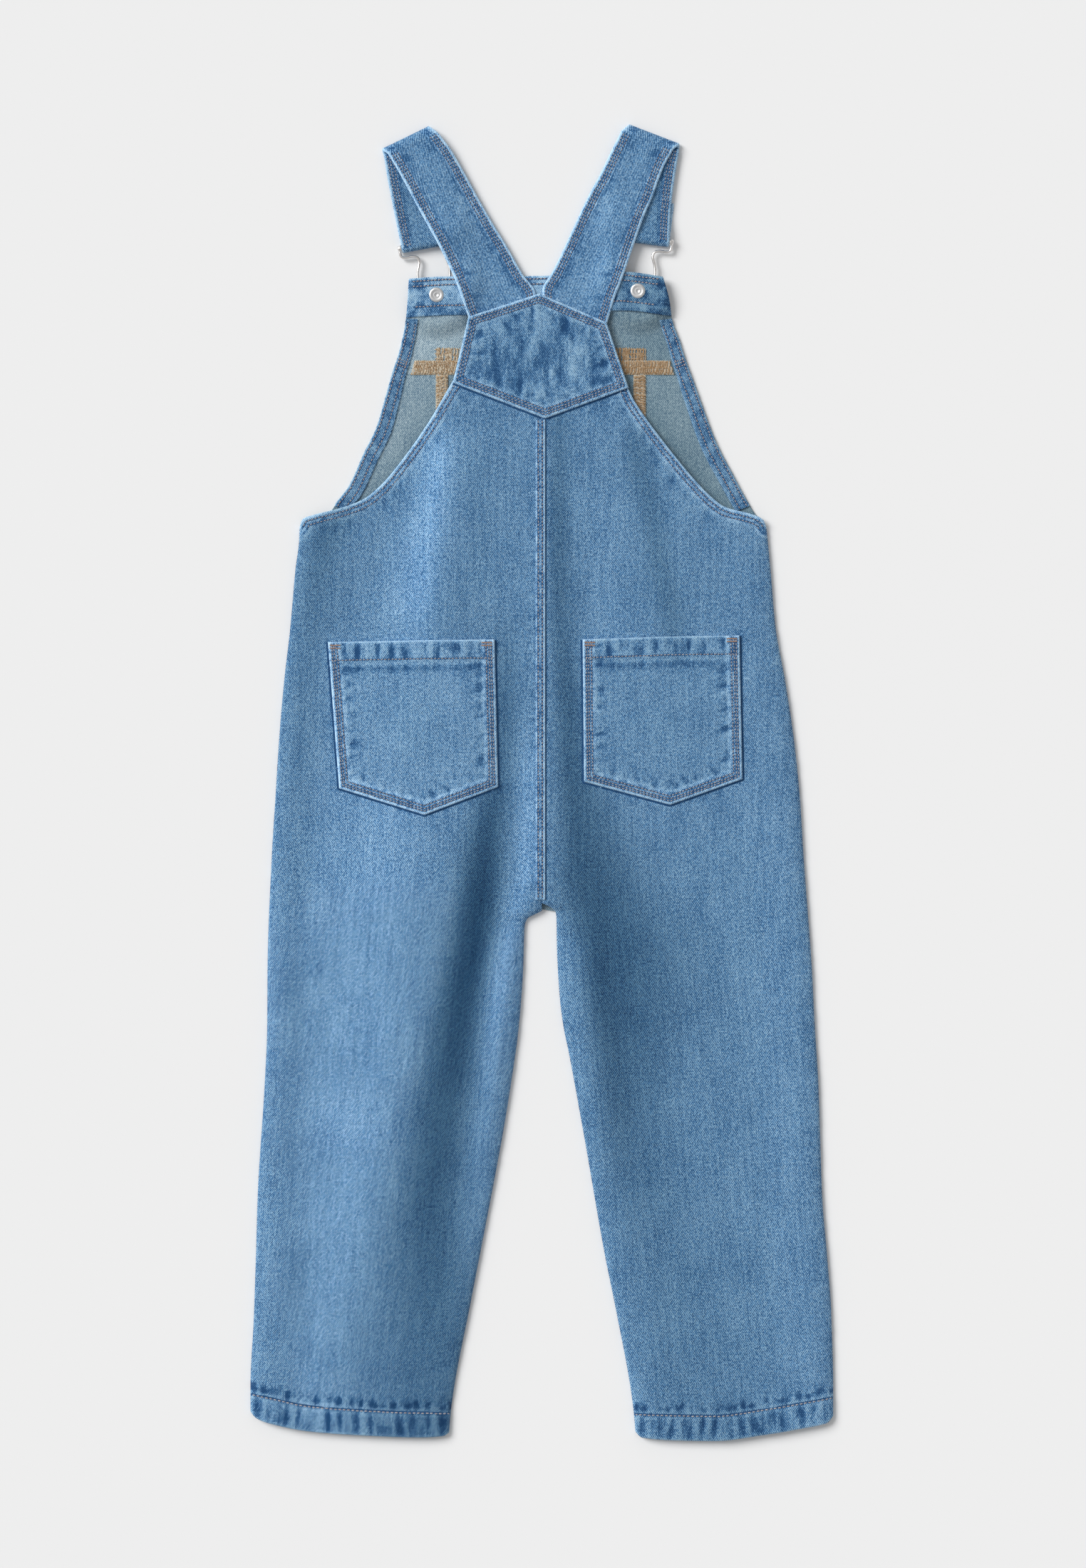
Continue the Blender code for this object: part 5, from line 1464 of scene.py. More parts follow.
def stitch_row(path, normals, seed, pitch=None, bold=1.0):
    """Points and faces of a row of stitches along a path of points with their normals."""
    pitch = pitch or sizes().stitch_pitch / MM
    length, radius = pitch * 0.80, bold * sizes().thread_width / MM / 2.0
    run = np.concatenate([[0.0], np.cumsum(np.linalg.norm(np.diff(path, axis=0), axis=1))])
    count = int(run[-1] / pitch)
    if count < 1:
        return np.zeros((0, 3)), []
    chance = np.random.RandomState(seed)
    starts = (run[-1] - count * pitch) / 2.0 + pitch * (np.arange(count) + 0.1)
    starts = starts + chance.uniform(-0.12, 0.12, count)
    t = np.linspace(0.0, 1.0, 4)
    places = starts[:, None] + length * t[None, :]
    centre = np.stack([np.interp(places, run, path[:, k]) for k in range(3)], axis=-1)
    normal = np.stack([np.interp(places, run, normals[:, k]) for k in range(3)], axis=-1)
    normal /= np.linalg.norm(normal, axis=2)[..., None]
    ahead = np.gradient(centre, axis=1)
    ahead /= np.linalg.norm(ahead, axis=2)[..., None]
    aside = np.cross(ahead, normal)
    slip = chance.uniform(-0.10, 0.10, (count, 1, 1))
    slip = slip + (t - 0.5)[None, :, None] * chance.uniform(-0.25, 0.05, (count, 1, 1))
    arch = (0.75 - 1.5 * np.abs(2.0 * t - 1.0) ** 3)[None, :, None]
    centre = centre + aside * slip + normal * radius * arch
    turn = 2.0 * math.pi * (np.arange(5) + 0.25) / 5.0
    thick = radius * np.array([0.6, 1.0, 1.0, 0.6])[None, :, None, None]
    ring = centre[:, :, None, :] + thick * (np.cos(turn)[None, None, :, None] * aside[:, :, None, :]
                                            + np.sin(turn)[None, None, :, None] * normal[:, :, None, :])
    index = np.arange(count * 4 * 5).reshape(count, 4, 5)
    around = np.roll(index, -1, axis=2)
    quads = np.stack([index[:, :-1], index[:, 1:], around[:, 1:], around[:, :-1]], axis=-1)
    caps = index[:, 0].tolist() + index[:, -1, ::-1].tolist()
    return above_floor(ring.reshape(-1, 3)), quads.reshape(-1, 4).tolist() + caps


def painted_shade_strip(path, normals, width):
    """Points and faces of a narrow dark strip of painted shade along a row of stitches."""
    ahead = np.gradient(path, axis=0)
    aside = np.cross(ahead, normals)
    aside *= width / 2.0 / np.linalg.norm(aside, axis=1)[:, None]
    lifted = above_floor(path + normals * 0.05)
    points = np.stack([lifted - aside, lifted + aside], axis=1).reshape(-1, 3)
    faces = [(2 * k, 2 * k + 1, 2 * k + 3, 2 * k + 2) for k in range(len(path) - 1)]
    return points, faces


class Sewing:
    """Collects rows of stitches and the strips of painted shade under them, then makes them two objects."""

    def __init__(self, name, thread):
        self.name, self.thread = name, thread
        self.stitches, self.furrows, self.seed = [], [], FIRST_SEED

    def row(self, path, normals, pitch=None, bold=1.0, furrow=SHADE_STRIP_WIDTH):
        """One row of stitches along points with their normals, or only a strip of painted shade where bold is
        0.
        """
        self.seed += 1
        if bold:
            self.stitches.append(stitch_row(path, normals, self.seed, pitch, bold))
        if furrow:
            self.furrows.append(painted_shade_strip(path, normals, furrow))

    def row_on(self, tree, path, pitch=None, bold=1.0, furrow=SHADE_STRIP_WIDTH):
        """A row of stitches along a flat path, on whatever surface of the tree lies highest."""
        fine = finer(path, 0.75)
        z = tops(tree, fine[:, 0], fine[:, 1])
        good = np.flatnonzero(~np.isnan(z))
        if len(good) < 3:
            return
        points = at_height(fine, np.interp(np.arange(len(z)), good, z[good]))[good[0]:good[-1] + 1]
        self.row(points, np.tile([0.0, 0.0, 1.0], (len(points), 1)), pitch, bold, furrow)

    def loops(self, tree, path, width, pitch, seed):
        """Overlock loops in two rows that fill a width about a path."""
        for half in (-1.0, 1.0):
            row = inset(path, half * width * 0.23)
            self.stitches.append(loops_across(tree, row, width * 0.60, pitch, seed + int(half)))

    def bartack(self, tree, centre, direction, length, width):
        """A short dense row of stitches across a seam's end."""
        direction = np.array(direction, float) / np.hypot(*direction)
        aside = np.array([-direction[1], direction[0]])
        for place in np.arange(-length / 2.0, length / 2.0 + 0.01, 0.55):
            middle = np.array(centre) + direction * place
            path = [middle - aside * width / 2.0, middle + aside * width / 2.0]
            self.row_on(tree, path, pitch=width * 0.98, furrow=0.0)

    def make(self):
        """The objects of the stitches and of their strips of painted shade."""
        points, faces = join([part for part in self.stitches if len(part[0])])
        add_mesh(self.name, points, faces, (self.thread,))
        if self.furrows:
            points, faces = join(self.furrows)
            # the strips are darkened denim, painted shade
            facts = {"grain": points, "tone": np.full(len(points), SHADE_STRIP_TONE)}
            add_mesh(self.name + "_furrows", points, faces, ("denim",), facts=facts)


def make_stitching():
    """All the rows of stitches, as thread with strips of painted shade along them."""
    back, pockets, straps, seams, inside, tacks = rows = [Sewing(*names) for names in (
        ("stitches_on_back", "seam_thread"), ("stitches_on_pockets", "seam_thread"),
        ("stitches_on_straps", "seam_thread"), ("stitches_on_yoke_and_seam", "seam_thread"),
        ("stitches_inside", "copper_thread"), ("bartacks", "tack_thread"))]
    for side in BOTH:
        sign = -SIGN[side]
        tree = cloth_tree("back_" + side)
        for place in ARMHOLE_ROWS:
            back.row_on(tree, inset(armhole_path(side), -sign * place))
        # a wide strip of painted shade under the hem's stitches
        back.row_on(tree, inset(hem_line(side), sign * LEG_HEM), pitch=2.7, bold=1.4, furrow=2.0)
        pocket = cloth_tree("pocket_" + side)
        outline = pocket_outline(side)
        # a painted shadow along the pocket's edge, where it lies on the back
        back.row_on(tree, inset(outline, -0.7), bold=0.0, furrow=SEAM_SHADOW_WIDTH)
        if side == "right":
            beside = CENTRE_SEAM[1] + 0.5
            # a painted shadow beside the right edge of the felled seam
            back.row_on(tree, [(beside, CENTRE_SEAM_END), (beside, 224.0)], bold=0.0)
        # a painted shadow under the yoke's lower edge
        below = [(px, py - 0.7) for px, py in yoke_outline()[:3]]
        back.row_on(tree, below, bold=0.0, furrow=SEAM_SHADOW_WIDTH)
        for place in POCKET_ROWS:
            pockets.row_on(pocket, cut(inset(outline, place), 0.004, 0.996))
        mouth = pocket_mouth(side)
        pockets.row_on(pocket, inset(mouth, MOUTH_ROW - POCKET_HEM))
        for (x, y), inward in ((mouth[0], 1.0), (mouth[-1], -1.0)):
            for depth in (1.8, 3.6):
                tacks.bartack(pocket, (x + inward * 4.4, y - depth), (1.0, 0.0), 6.4, 1.3)
        strap = built["strap_" + side]
        shares, widths, count = strap["shares"], strap["width"][:, 0], strap["fold_start"]
        faces = (("upper", 0, count, 1.0), ("lower", count + 12, len(strap["upper"]) - 24, -1.0))
        for face, first, last, outward in faces:
            normals = strap["normal"][first:last, len(shares) // 2] * outward
            for place in STRAP_ROWS:
                for share in (place / widths, 1.0 - place / widths):
                    line = [[np.interp(s, shares, row[:, k]) for k in range(3)]
                            for s, row in zip(share, strap[face])]
                    straps.row(np.array(line)[first:last], normals)
    tree = cloth_tree("centre_back_seam")
    for place in CENTRE_ROWS:
        seams.row_on(tree, [(place, CENTRE_SEAM_END + 1.0), (place, CENTRE_SEAM_TOP)])
    tree = cloth_tree("yoke")
    for place in YOKE_ROWS:
        seams.row_on(tree, inset(yoke_outline(), place, closed=True))
    tree = cloth_tree("bib_top_hem")
    for place in BIB_HEM_ROWS:
        inside.row_on(tree, cut(inset(BIB_TOP, -place), 0.01, 0.99), bold=1.1)
    for side in BOTH:
        tree = cloth_tree("armhole_facing_" + side)
        x, y = facing_grid(side)
        edge = np.stack([x[:, 0], y[:, 0]], axis=1)
        for place in FACING_ROWS:
            inside.row_on(tree, inset(edge[::4], -place if side == "left" else place))
        for offset in JOINT_ROWS:
            level = FACING_JOINT + offset
            start = float(read(FRONT_ARMHOLE[side], level)) - SIGN[side] * 0.6
            # the first row also lays a strip of painted shade
            inside.row_on(tree, [(start, level), (start - SIGN[side] * 8.4, level - 3.2)], pitch=1.7,
                          furrow=1.6 if offset == JOINT_ROWS[0] else 0.0)
    for sewing in rows:
        sewing.make()


def loops_across(tree, path, width, pitch, seed):
    """Slanting loops of overlock thread across a strip."""
    fine = finer(path, 0.5)
    run = run_of(fine)
    ahead = np.gradient(fine, axis=0)
    ahead /= np.hypot(*ahead.T)[:, None]
    chance = np.random.RandomState(seed)
    parts = []
    for place in np.arange(pitch, run[-1] - pitch, pitch):
        k = int(np.searchsorted(run, place))
        aside = np.array([-ahead[k][1], ahead[k][0]])
        shift, bend = chance.uniform(-0.35, 0.35), chance.uniform(0.2, 1.2)
        low, high = chance.uniform(-0.54, -0.40), chance.uniform(0.40, 0.54)
        spots = []
        for share in (0.0, 0.33, 0.67, 1.0):
            slip = pitch * bend * math.sin(math.pi * share) + shift + 0.6 * share
            spots.append(fine[k] + aside * width * mix(low, high, share) + ahead[k] * slip)
        spots = np.array(spots)
        z = tops(tree, spots[:, 0], spots[:, 1])
        if np.isnan(z[1:-1]).any():
            continue
        z = np.where(np.isnan(z), np.nanmin(z) - 0.3, z) + LOOP_R * 0.6
        parts.append(tube(at_height(spots, z), LOOP_R, 5, closed_loop=False))
    return join(parts)


def make_overlock():
    """Overlock threads along the raw edges of the inside seams, and the pads where the seams cross."""
    middle = WAIST_SEAM + WAIST_STRIP / 2.0
    pad_middle = WAIST_SEAM + WAIST_STRIP + PAD_HEIGHT / 2.0 - PAD_OVERLAP
    waist, bib = cloth_tree("waist_seam"), cloth_tree("bib")
    for side, end in zip(BOTH, (WAIST_STRIP_BOTTOM[0] + 1.0, WAIST_STRIP_BOTTOM[1] - 1.0)):
        # the right side's threads take the darker copy of the finish, painted shade
        sewing = Sewing("overlock_loops_" + side, "overlock_thread_" + side)
        ends = sorted((end, 0.0))
        sewing.loops(waist, [(x, middle) for x in ends], WAIST_STRIP * 0.96, 1.0, 7)
        for offset in WAIST_THREADS:
            sewing.row_on(waist, [(x, middle + offset) for x in ends], 2.4, furrow=0.0)
        sewing.loops(bib, [(x, pad_middle) for x in PADS[side]], PAD_HEIGHT, 0.72, 9)
        for offset in PAD_THREADS:
            sewing.row_on(bib, [(x, pad_middle + offset) for x in PADS[side]], 1.9, bold=1.4, furrow=0.0)
        tree = cloth_tree("front_seam_" + side)
        x, stop = FRONT_SEAMS[side], WAIST_SEAM - 0.4
        sewing.loops(tree, [(x, FRONT_SEAM_END), (x, stop)], FRONT_SEAM_WIDTH * 0.96, 1.15, 8)
        for offset in UPRIGHT_THREADS:
            sewing.row_on(tree, [(x + offset, FRONT_SEAM_END), (x + offset, stop)], 2.4, furrow=0.0)
        sewing.make()


# Finishes

class Wiring:
    """Adds nodes to a tree and joins them."""

    def __init__(self, tree):
        self.tree = tree

    def add(self, kind, **settings):
        """A node of this kind, with its settings."""
        node = self.tree.nodes.new(kind)
        for name, value in settings.items():
            setattr(node, name, value)
        return node

    def feed(self, socket, value):
        """Joins an output to a socket, or sets the socket's own value."""
        if isinstance(value, bpy.types.NodeSocket):
            self.tree.links.new(value, socket)
        else:
            socket.default_value = value

    def maths(self, operation, *values):
        """The result of a sum on one to three values."""
        node = self.add("ShaderNodeMath", operation=operation)
        for socket, value in zip(node.inputs, values):
            self.feed(socket, value)
        return node.outputs[0]

    def stretched(self, vector, scale):
        """A vector multiplied by a scale for each of its axes."""
        node = self.add("ShaderNodeVectorMath", operation="MULTIPLY")
        self.feed(node.inputs[0], vector)
        node.inputs[1].default_value = scale
        return node.outputs[0]

    def noise(self, vector, scale, detail=2.0, roughness=0.5):
        """Noise about 0 on a stretched vector."""
        node = self.add("ShaderNodeTexNoise")
        self.feed(node.inputs["Vector"], self.stretched(vector, scale))
        fix(node, {"Scale": 1.0, "Detail": detail, "Roughness": roughness})
        return self.maths("SUBTRACT", node.outputs[0], 0.5)

    def blend(self, share, a, b):
        """The colour at a share of the way from a to b."""
        node = self.add("ShaderNodeMix", data_type="RGBA")
        self.feed(node.inputs["Factor"], share)
        self.feed(node.inputs[6], a)
        self.feed(node.inputs[7], b)
        return node.outputs[2]

    def tinted(self, colour, share):
        """A colour multiplied by a number."""
        node = self.add("ShaderNodeVectorMath", operation="SCALE")
        self.feed(node.inputs[0], colour)
        self.feed(node.inputs["Scale"], share)
        return node.outputs[0]

    def limited(self, value):
        """A value kept between 0 and 1."""
        return self.maths("MINIMUM", self.maths("MAXIMUM", value, 0.0), 1.0)

    def fact(self, name, output):
        """A value stored on the points of a piece."""
        return self.add("ShaderNodeAttribute", attribute_name=name).outputs[output]

    def place(self):
        """Places on a piece, in metres."""
        return self.add("ShaderNodeTexCoord").outputs["Object"]

    def bump(self, shader, height, strength, depth):
        """Relief for a shader, of a depth in millimetres."""
        node = self.add("ShaderNodeBump")
        fix(node, {"Strength": strength, "Distance": depth * MM})
        self.feed(node.inputs["Height"], height)
        self.feed(shader.inputs["Normal"], node.outputs["Normal"])


def fix(node, values):
    """Sets the values of a node's own sockets, given by their names."""
    for name, value in values.items():
        node.inputs[name].default_value = value


SHADE_AND_WEAR_SHARES = (
    # how strongly painted light and shade, with wear, change red, green and blue, and how that grows with
    # their strength
    (1.27, -0.21), (1.02, 0), (0.94, 0.10),
)


def weave_group():
    """The shader node group of twill cloth: warp and weft threads, slubs, wear, and painted light and shade.
    """
    found = bpy.data.node_groups.get("Washed twill")
    if found:
        return found
    tree = bpy.data.node_groups.new("Washed twill", "ShaderNodeTree")
    for name, kind, default in (("Grain", "NodeSocketVector", None), ("Wear", "NodeSocketFloat", 0.0),
                                ("Fade", "NodeSocketFloat", 0.0), ("Twill Pitch", "NodeSocketFloat", 1.3),
                                ("Slant", "NodeSocketFloat", 1.0), ("Contrast", "NodeSocketFloat", 1.0),
                                ("Dark", "NodeSocketColor", None), ("Face", "NodeSocketColor", None),
                                ("Pale", "NodeSocketColor", None)):
        socket = tree.interface.new_socket(name, in_out="INPUT", socket_type=kind)
        if default is not None:
            socket.default_value = default
    tree.interface.new_socket("Colour", in_out="OUTPUT", socket_type="NodeSocketColor")
    tree.interface.new_socket("Height", in_out="OUTPUT", socket_type="NodeSocketFloat")
    wires = Wiring(tree)
    given = wires.add("NodeGroupInput").outputs
    result = wires.add("NodeGroupOutput").inputs
    parts = wires.add("ShaderNodeSeparateXYZ")
    wires.feed(parts.inputs[0], given["Grain"])
    weft, warp = parts.outputs[0], parts.outputs[1]
    slanted = wires.maths("MULTIPLY", given["Slant"], wires.maths("MULTIPLY", warp, -0.60))
    across = wires.maths("ADD", wires.maths("MULTIPLY", weft, 0.80), slanted)
    phase = wires.maths("DIVIDE", across, given["Twill Pitch"])
    wobble = wires.noise(given["Grain"], (0.16, 0.08, 1.0))
    turns = wires.maths("ADD", phase, wires.maths("MULTIPLY", wobble, 0.9))
    wave = wires.maths("SINE", wires.maths("MULTIPLY", turns, 6.2832))
    broken = wires.noise(given["Grain"], (0.9, 0.5, 1.0), 2.0, 0.6)
    twill = wires.maths("MULTIPLY", wave, wires.maths("MULTIPLY_ADD", broken, 2.2, 1.0))
    streak = wires.noise(given["Grain"], (1.35, 0.16, 1.0), 3.0, 0.62)
    slub = wires.noise(given["Grain"], (0.42, 0.022, 1.0), 2.0, 0.6)
    speck = wires.noise(given["Grain"], (1.5, 1.1, 1.0), 1.0, 0.7)
    grit = wires.noise(given["Grain"], (0.75, 0.55, 1.0), 1.0, 0.5)
    blotch = wires.noise(given["Grain"], (0.045, 0.032, 1.0), 3.0, 0.6)
    total = wires.maths("MULTIPLY", twill, 0.36)
    for part, share in ((streak, 0.9), (slub, 0.55), (speck, 1.55), (grit, 1.0), (blotch, 0.45)):
        total = wires.maths("MULTIPLY_ADD", part, share, total)
    total = wires.maths("MULTIPLY_ADD", total, given["Contrast"], 0.47)
    total = wires.maths("MULTIPLY_ADD", given["Wear"], 0.46, total)
    below = wires.limited(wires.maths("MULTIPLY", total, 2.0))
    above = wires.limited(wires.maths("MULTIPLY_ADD", total, 2.0, -1.0))
    colour = wires.blend(above, wires.blend(below, given["Dark"], given["Face"]), given["Pale"])
    # painted light and shade, with some wear, scale each channel of the colour
    shade_and_wear = wires.add("ShaderNodeCombineXYZ")
    for socket, (share, growth) in zip(shade_and_wear.inputs, SHADE_AND_WEAR_SHARES):
        strength = wires.maths("MULTIPLY_ADD", given["Fade"], growth, share)
        wires.feed(socket, wires.maths("EXPONENT", wires.maths("MULTIPLY", given["Fade"], strength)))
    scaled = wires.add("ShaderNodeVectorMath", operation="MULTIPLY")
    wires.feed(scaled.inputs[0], colour)
    wires.feed(scaled.inputs[1], shade_and_wear.outputs[0])
    wires.feed(result["Colour"], scaled.outputs[0])
    height = wires.maths("MULTIPLY_ADD", twill, 0.35, streak)
    wires.feed(result["Height"], wires.maths("MULTIPLY_ADD", speck, 0.9, height))
    return tree


def new_finish(name, roughness, metallic=0.0):
    """A material with only a Principled shader, and its wiring."""
    made = bpy.data.materials.new(name)
    made.use_nodes = True
    shader = made.node_tree.nodes["Principled BSDF"]
    fix(shader, {"Roughness": roughness, "Metallic": metallic})
    return made, shader, Wiring(made.node_tree)


def cloth_finish(name, dark, face, pale, slant, contrast, depth, sheen):
    """Washed denim, from its right side or its wrong side."""
    made, shader, wires = new_finish(name, 0.86)
    group = wires.add("ShaderNodeGroup", node_tree=weave_group())
    wires.feed(group.inputs["Grain"], wires.fact("grain", "Vector"))
    wires.feed(group.inputs["Wear"], wires.fact("tone", "Fac"))
    wires.feed(group.inputs["Fade"], wires.fact("light", "Fac"))
    fix(group, {"Twill Pitch": sizes().twill_pitch / MM, "Slant": slant, "Contrast": contrast,
                "Dark": (*dark, 1.0), "Face": (*face, 1.0), "Pale": (*pale, 1.0)})
    wires.feed(shader.inputs["Base Color"], group.outputs["Colour"])
    wires.bump(shader, group.outputs["Height"], 0.8, depth)
    fix(shader, {"Sheen Weight": sheen, "Sheen Roughness": 0.5, "Specular IOR Level": 0.2})
    return made


def thread_finish(name, colour, other, contrast=1.8, fineness=420.0):
    """Twisted sewing thread."""
    made, shader, wires = new_finish(name, 0.7)
    place = wires.place()
    share = wires.maths("MULTIPLY_ADD", wires.noise(place, (fineness,) * 3), contrast, 0.5)
    wires.feed(shader.inputs["Base Color"], wires.blend(share, (*colour, 1.0), (*other, 1.0)))
    wires.bump(shader, wires.noise(place, (2600.0,) * 3, 1.0), 0.5, 0.1)
    fix(shader, {"Specular IOR Level": 0.3})
    return made


def metal_finish(name, colour, roughness):
    """Satin steel with fine handling marks."""
    made, shader, wires = new_finish(name, roughness, 1.0)
    place = wires.place()
    cloud = wires.noise(place, (180.0,) * 3, 3.0)
    tint = wires.tinted(tuple(colour), wires.maths("MULTIPLY_ADD", cloud, 0.25, 1.0))
    wires.feed(shader.inputs["Base Color"], tint)
    wires.feed(shader.inputs["Roughness"], wires.maths("MULTIPLY_ADD", cloud, 0.35, roughness))
    wires.bump(shader, wires.noise(place, (1500.0,) * 3), 0.15, 0.05)
    return made


FINISHES = {
    # material, how it is made, its colours, then for cloth its slant, contrast, relief and sheen,
    # for thread its contrast and fineness, and for metal its roughness
    "denim": ("Washed denim", cloth_finish, ("denim_dark", "denim_face", "denim_pale"),
              (1.0, 1.0, 0.30, 0.12)),
    "denim_inside": ("Denim wrong side", cloth_finish, ("inside_dark", "inside_face", "inside_pale"),
                     (-1.0, 1.1, 0.25, 0.10)),
    "overlock_ground": ("Overlocked edge", cloth_finish, ("overlock_dark", "overlock", "inside_face"),
                        (-1.0, 0.8, 0.2, 0.1)),
    "seam_thread": ("Seam thread", thread_finish, ("seam_thread", "seam_thread_dark"), ()),
    "copper_thread": ("Copper thread", thread_finish, ("seam_thread", "copper_thread"), ()),
    "tack_thread": ("Bartack thread", thread_finish, ("copper_thread", "copper_thread"), ()),
    "overlock_thread_left": ("Overlock thread", thread_finish, ("overlock", "overlock_dark"),
                             (4.5, 1000.0)),
    # the right side's overlock is a darker, more ochre copy of the left's: painted shade
    "overlock_thread_right": ("Overlock thread ochre", thread_finish, ("overlock_ochre_shaded", "overlock_dark"),
                              (4.5, 1000.0)),
    "rivet": ("Rivet nickel", metal_finish, ("rivet",), (0.42,)),
    "steel": ("Buckle steel", metal_finish, ("steel",), (0.30,)),
}


def finish(name):
    """The material of this name, made on first use."""
    label, make, paints, values = FINISHES[name]
    found = bpy.data.materials.get(label)
    return found or make(label, *(getattr(colours(), paint) for paint in paints), *values)


# The stage

CAMERA_HEIGHT = 3.0
FRAME_LENGTH = 0.968
FRAME_MIDDLE = (0.0007, -0.0012)
SENSOR = 36.0
LIGHT_ANGLES = (51.0, -58.0)    # tilt from straight down, and turn towards the upper left
LIGHT_STRENGTH = 2.62
LIGHT_WIDTH = 32.0              # in degrees
SURROUND_STRENGTH = 0.42
FLOOR_HALF = 14.0
FLOOR_DROP = 2e-5


def make_stage():
    """A pale floor, one soft light from the upper left, a pale surround and the camera straight above."""
    corners = [(x * FLOOR_HALF, y * FLOOR_HALF, -FLOOR_DROP) for x, y in ((-1, -1), (1, -1), (1, 1), (-1, 1))]
    mesh = bpy.data.meshes.new("floor")
    mesh.from_pydata(corners, [], [(0, 1, 2, 3)])
    ground, shader, wires = new_finish("Pale floor", 0.9)
    cloud = wires.maths("MULTIPLY_ADD", wires.noise(wires.place(), (1.6,) * 3), 0.01, 1.0)
    wires.feed(shader.inputs["Base Color"], wires.tinted(tuple(colours().floor), cloud))
    fix(shader, {"Specular IOR Level": 0.1})
    mesh.materials.append(ground)
    place_object("floor", mesh)

    lamp = bpy.data.lights.new("key_light", "SUN")
    lamp.energy = LIGHT_STRENGTH
    lamp.angle = math.radians(LIGHT_WIDTH)
    tilt, turn = (math.radians(angle) for angle in LIGHT_ANGLES)
    towards = Vector((math.sin(tilt) * math.sin(turn), math.sin(tilt) * math.cos(turn), math.cos(tilt)))
    place_object("key_light", lamp).rotation_euler = towards.to_track_quat("Z", "Y").to_euler()

    world = bpy.data.worlds.new("studio")
    world.use_nodes = True
    surround = world.node_tree.nodes["Background"]
    fix(surround, {"Color": (1.0, 1.0, 1.0, 1.0), "Strength": SURROUND_STRENGTH})
    bpy.context.scene.world = world

    camera = bpy.data.cameras.new("camera")
    camera.sensor_width = SENSOR
    camera.lens = SENSOR * CAMERA_HEIGHT / FRAME_LENGTH
    eye = place_object("camera", camera)
    eye.location = (*FRAME_MIDDLE, CAMERA_HEIGHT)
    bpy.context.scene.camera = eye
    bpy.context.scene.view_settings.view_transform = "Standard"


# Settings, operators and panel

def measure(name, description, default):
    """A length that a user may change, given in millimetres."""
    return FloatProperty(name=name, description=description, default=default * MM, min=0.0, precision=5,
                         subtype="DISTANCE", unit="LENGTH")


def paint(name, description, default):
    """A colour that a user may change."""
    return FloatVectorProperty(name=name, description=description, default=default, size=3, min=0.0, max=1.0,
                               subtype="COLOR")


class OverallsSizes(bpy.types.PropertyGroup):
    """Sizes of the cloth and its stitching."""

    twill_pitch: measure("Twill pitch", "Distance between two twill lines", 0.95)
    ripple_height: measure("Ripple height", "Height of the ripples along a seam", 0.30)
    stitch_pitch: measure("Stitch pitch", "Distance from one stitch to the next", 2.2)
    thread_width: measure("Thread width", "Thickness of the sewing thread", 0.58)


class OverallsColours(bpy.types.PropertyGroup):
    """Colours of the cloth, thread and metal."""

    # also the colour that the painted shade in stitch lines and strips darkens towards
    denim_dark: paint("Denim dark", "Unworn denim in the hollows", (0.012, 0.066, 0.180))
    denim_face: paint("Denim", "Washed denim", (0.099, 0.262, 0.488))
    denim_pale: paint("Denim pale", "Worn denim on crests and edges", (0.330, 0.520, 0.690))
    inside_dark: paint("Wrong side dark", "Shaded threads of the wrong side", (0.105, 0.190, 0.280))
    inside_face: paint("Wrong side", "Wrong side of the denim", (0.235, 0.345, 0.410))
    inside_pale: paint("Wrong side pale", "Weft threads of the wrong side", (0.440, 0.560, 0.620))
    seam_thread: paint("Seam thread", "Thread of the seams", (0.520, 0.510, 0.530))
    seam_thread_dark: paint("Seam thread dark", "Darker lengths of the seam thread", (0.270, 0.255, 0.275))
    copper_thread: paint("Copper thread", "Thread of the bib's hem and the bartacks", (0.400, 0.270, 0.210))
    overlock: paint("Overlock thread", "Thread over raw edges", (0.680, 0.590, 0.450))
    # a darker, more ochre copy of the overlock colour, painted shade of the right side
    overlock_ochre_shaded: paint("Overlock thread ochre", "Thread over raw edges on the right",
                          (0.490, 0.360, 0.230))
    overlock_dark: paint("Overlock thread dark", "Darker lengths of the overlock thread",
                         (0.370, 0.225, 0.110))
    steel: paint("Steel", "Buckle wires and buttons", (0.880, 0.850, 0.830))
    rivet: paint("Rivet", "Backs of the tack buttons", (0.780, 0.785, 0.790))
    floor: paint("Floor", "Floor under the garment", (0.905, 0.905, 0.905))


class OVERALLS_OT_fronts(bpy.types.Operator):
    """Builds the two front leg panels"""

    bl_idname = "overalls.fronts"
    bl_label = "Front legs"

    def execute(self, context):
        make_fronts()
        return {"FINISHED"}


class OVERALLS_OT_bib(bpy.types.Operator):
    """Builds the bib"""

    bl_idname = "overalls.bib"
    bl_label = "Bib"

    def execute(self, context):
        make_bib()
        return {"FINISHED"}


class OVERALLS_OT_bib_hem(bpy.types.Operator):
    """Builds the bib's turned-in top hem"""

    bl_idname = "overalls.bib_hem"
    bl_label = "Bib hem"

    def execute(self, context):
        make_bib_hem()
        return {"FINISHED"}


class OVERALLS_OT_facings(bpy.types.Operator):
    """Builds the facings of the front's armholes"""

    bl_idname = "overalls.facings"
    bl_label = "Armhole facings"

    def execute(self, context):
        make_facings()
        return {"FINISHED"}


class OVERALLS_OT_inside_seams(bpy.types.Operator):
    """Builds the overlocked seam allowances"""

    bl_idname = "overalls.inside_seams"
    bl_label = "Inside seams"

    def execute(self, context):
        make_inside_seams()
        return {"FINISHED"}


class OVERALLS_OT_backs(bpy.types.Operator):
    """Builds the two back panels"""

    bl_idname = "overalls.backs"
    bl_label = "Back panels"

    def execute(self, context):
        make_backs()
        return {"FINISHED"}


class OVERALLS_OT_inner_hems(bpy.types.Operator):
    """Builds the hems inside the armholes and legs"""

    bl_idname = "overalls.inner_hems"
    bl_label = "Turned-in hems"

    def execute(self, context):
        make_inner_hems()
        return {"FINISHED"}


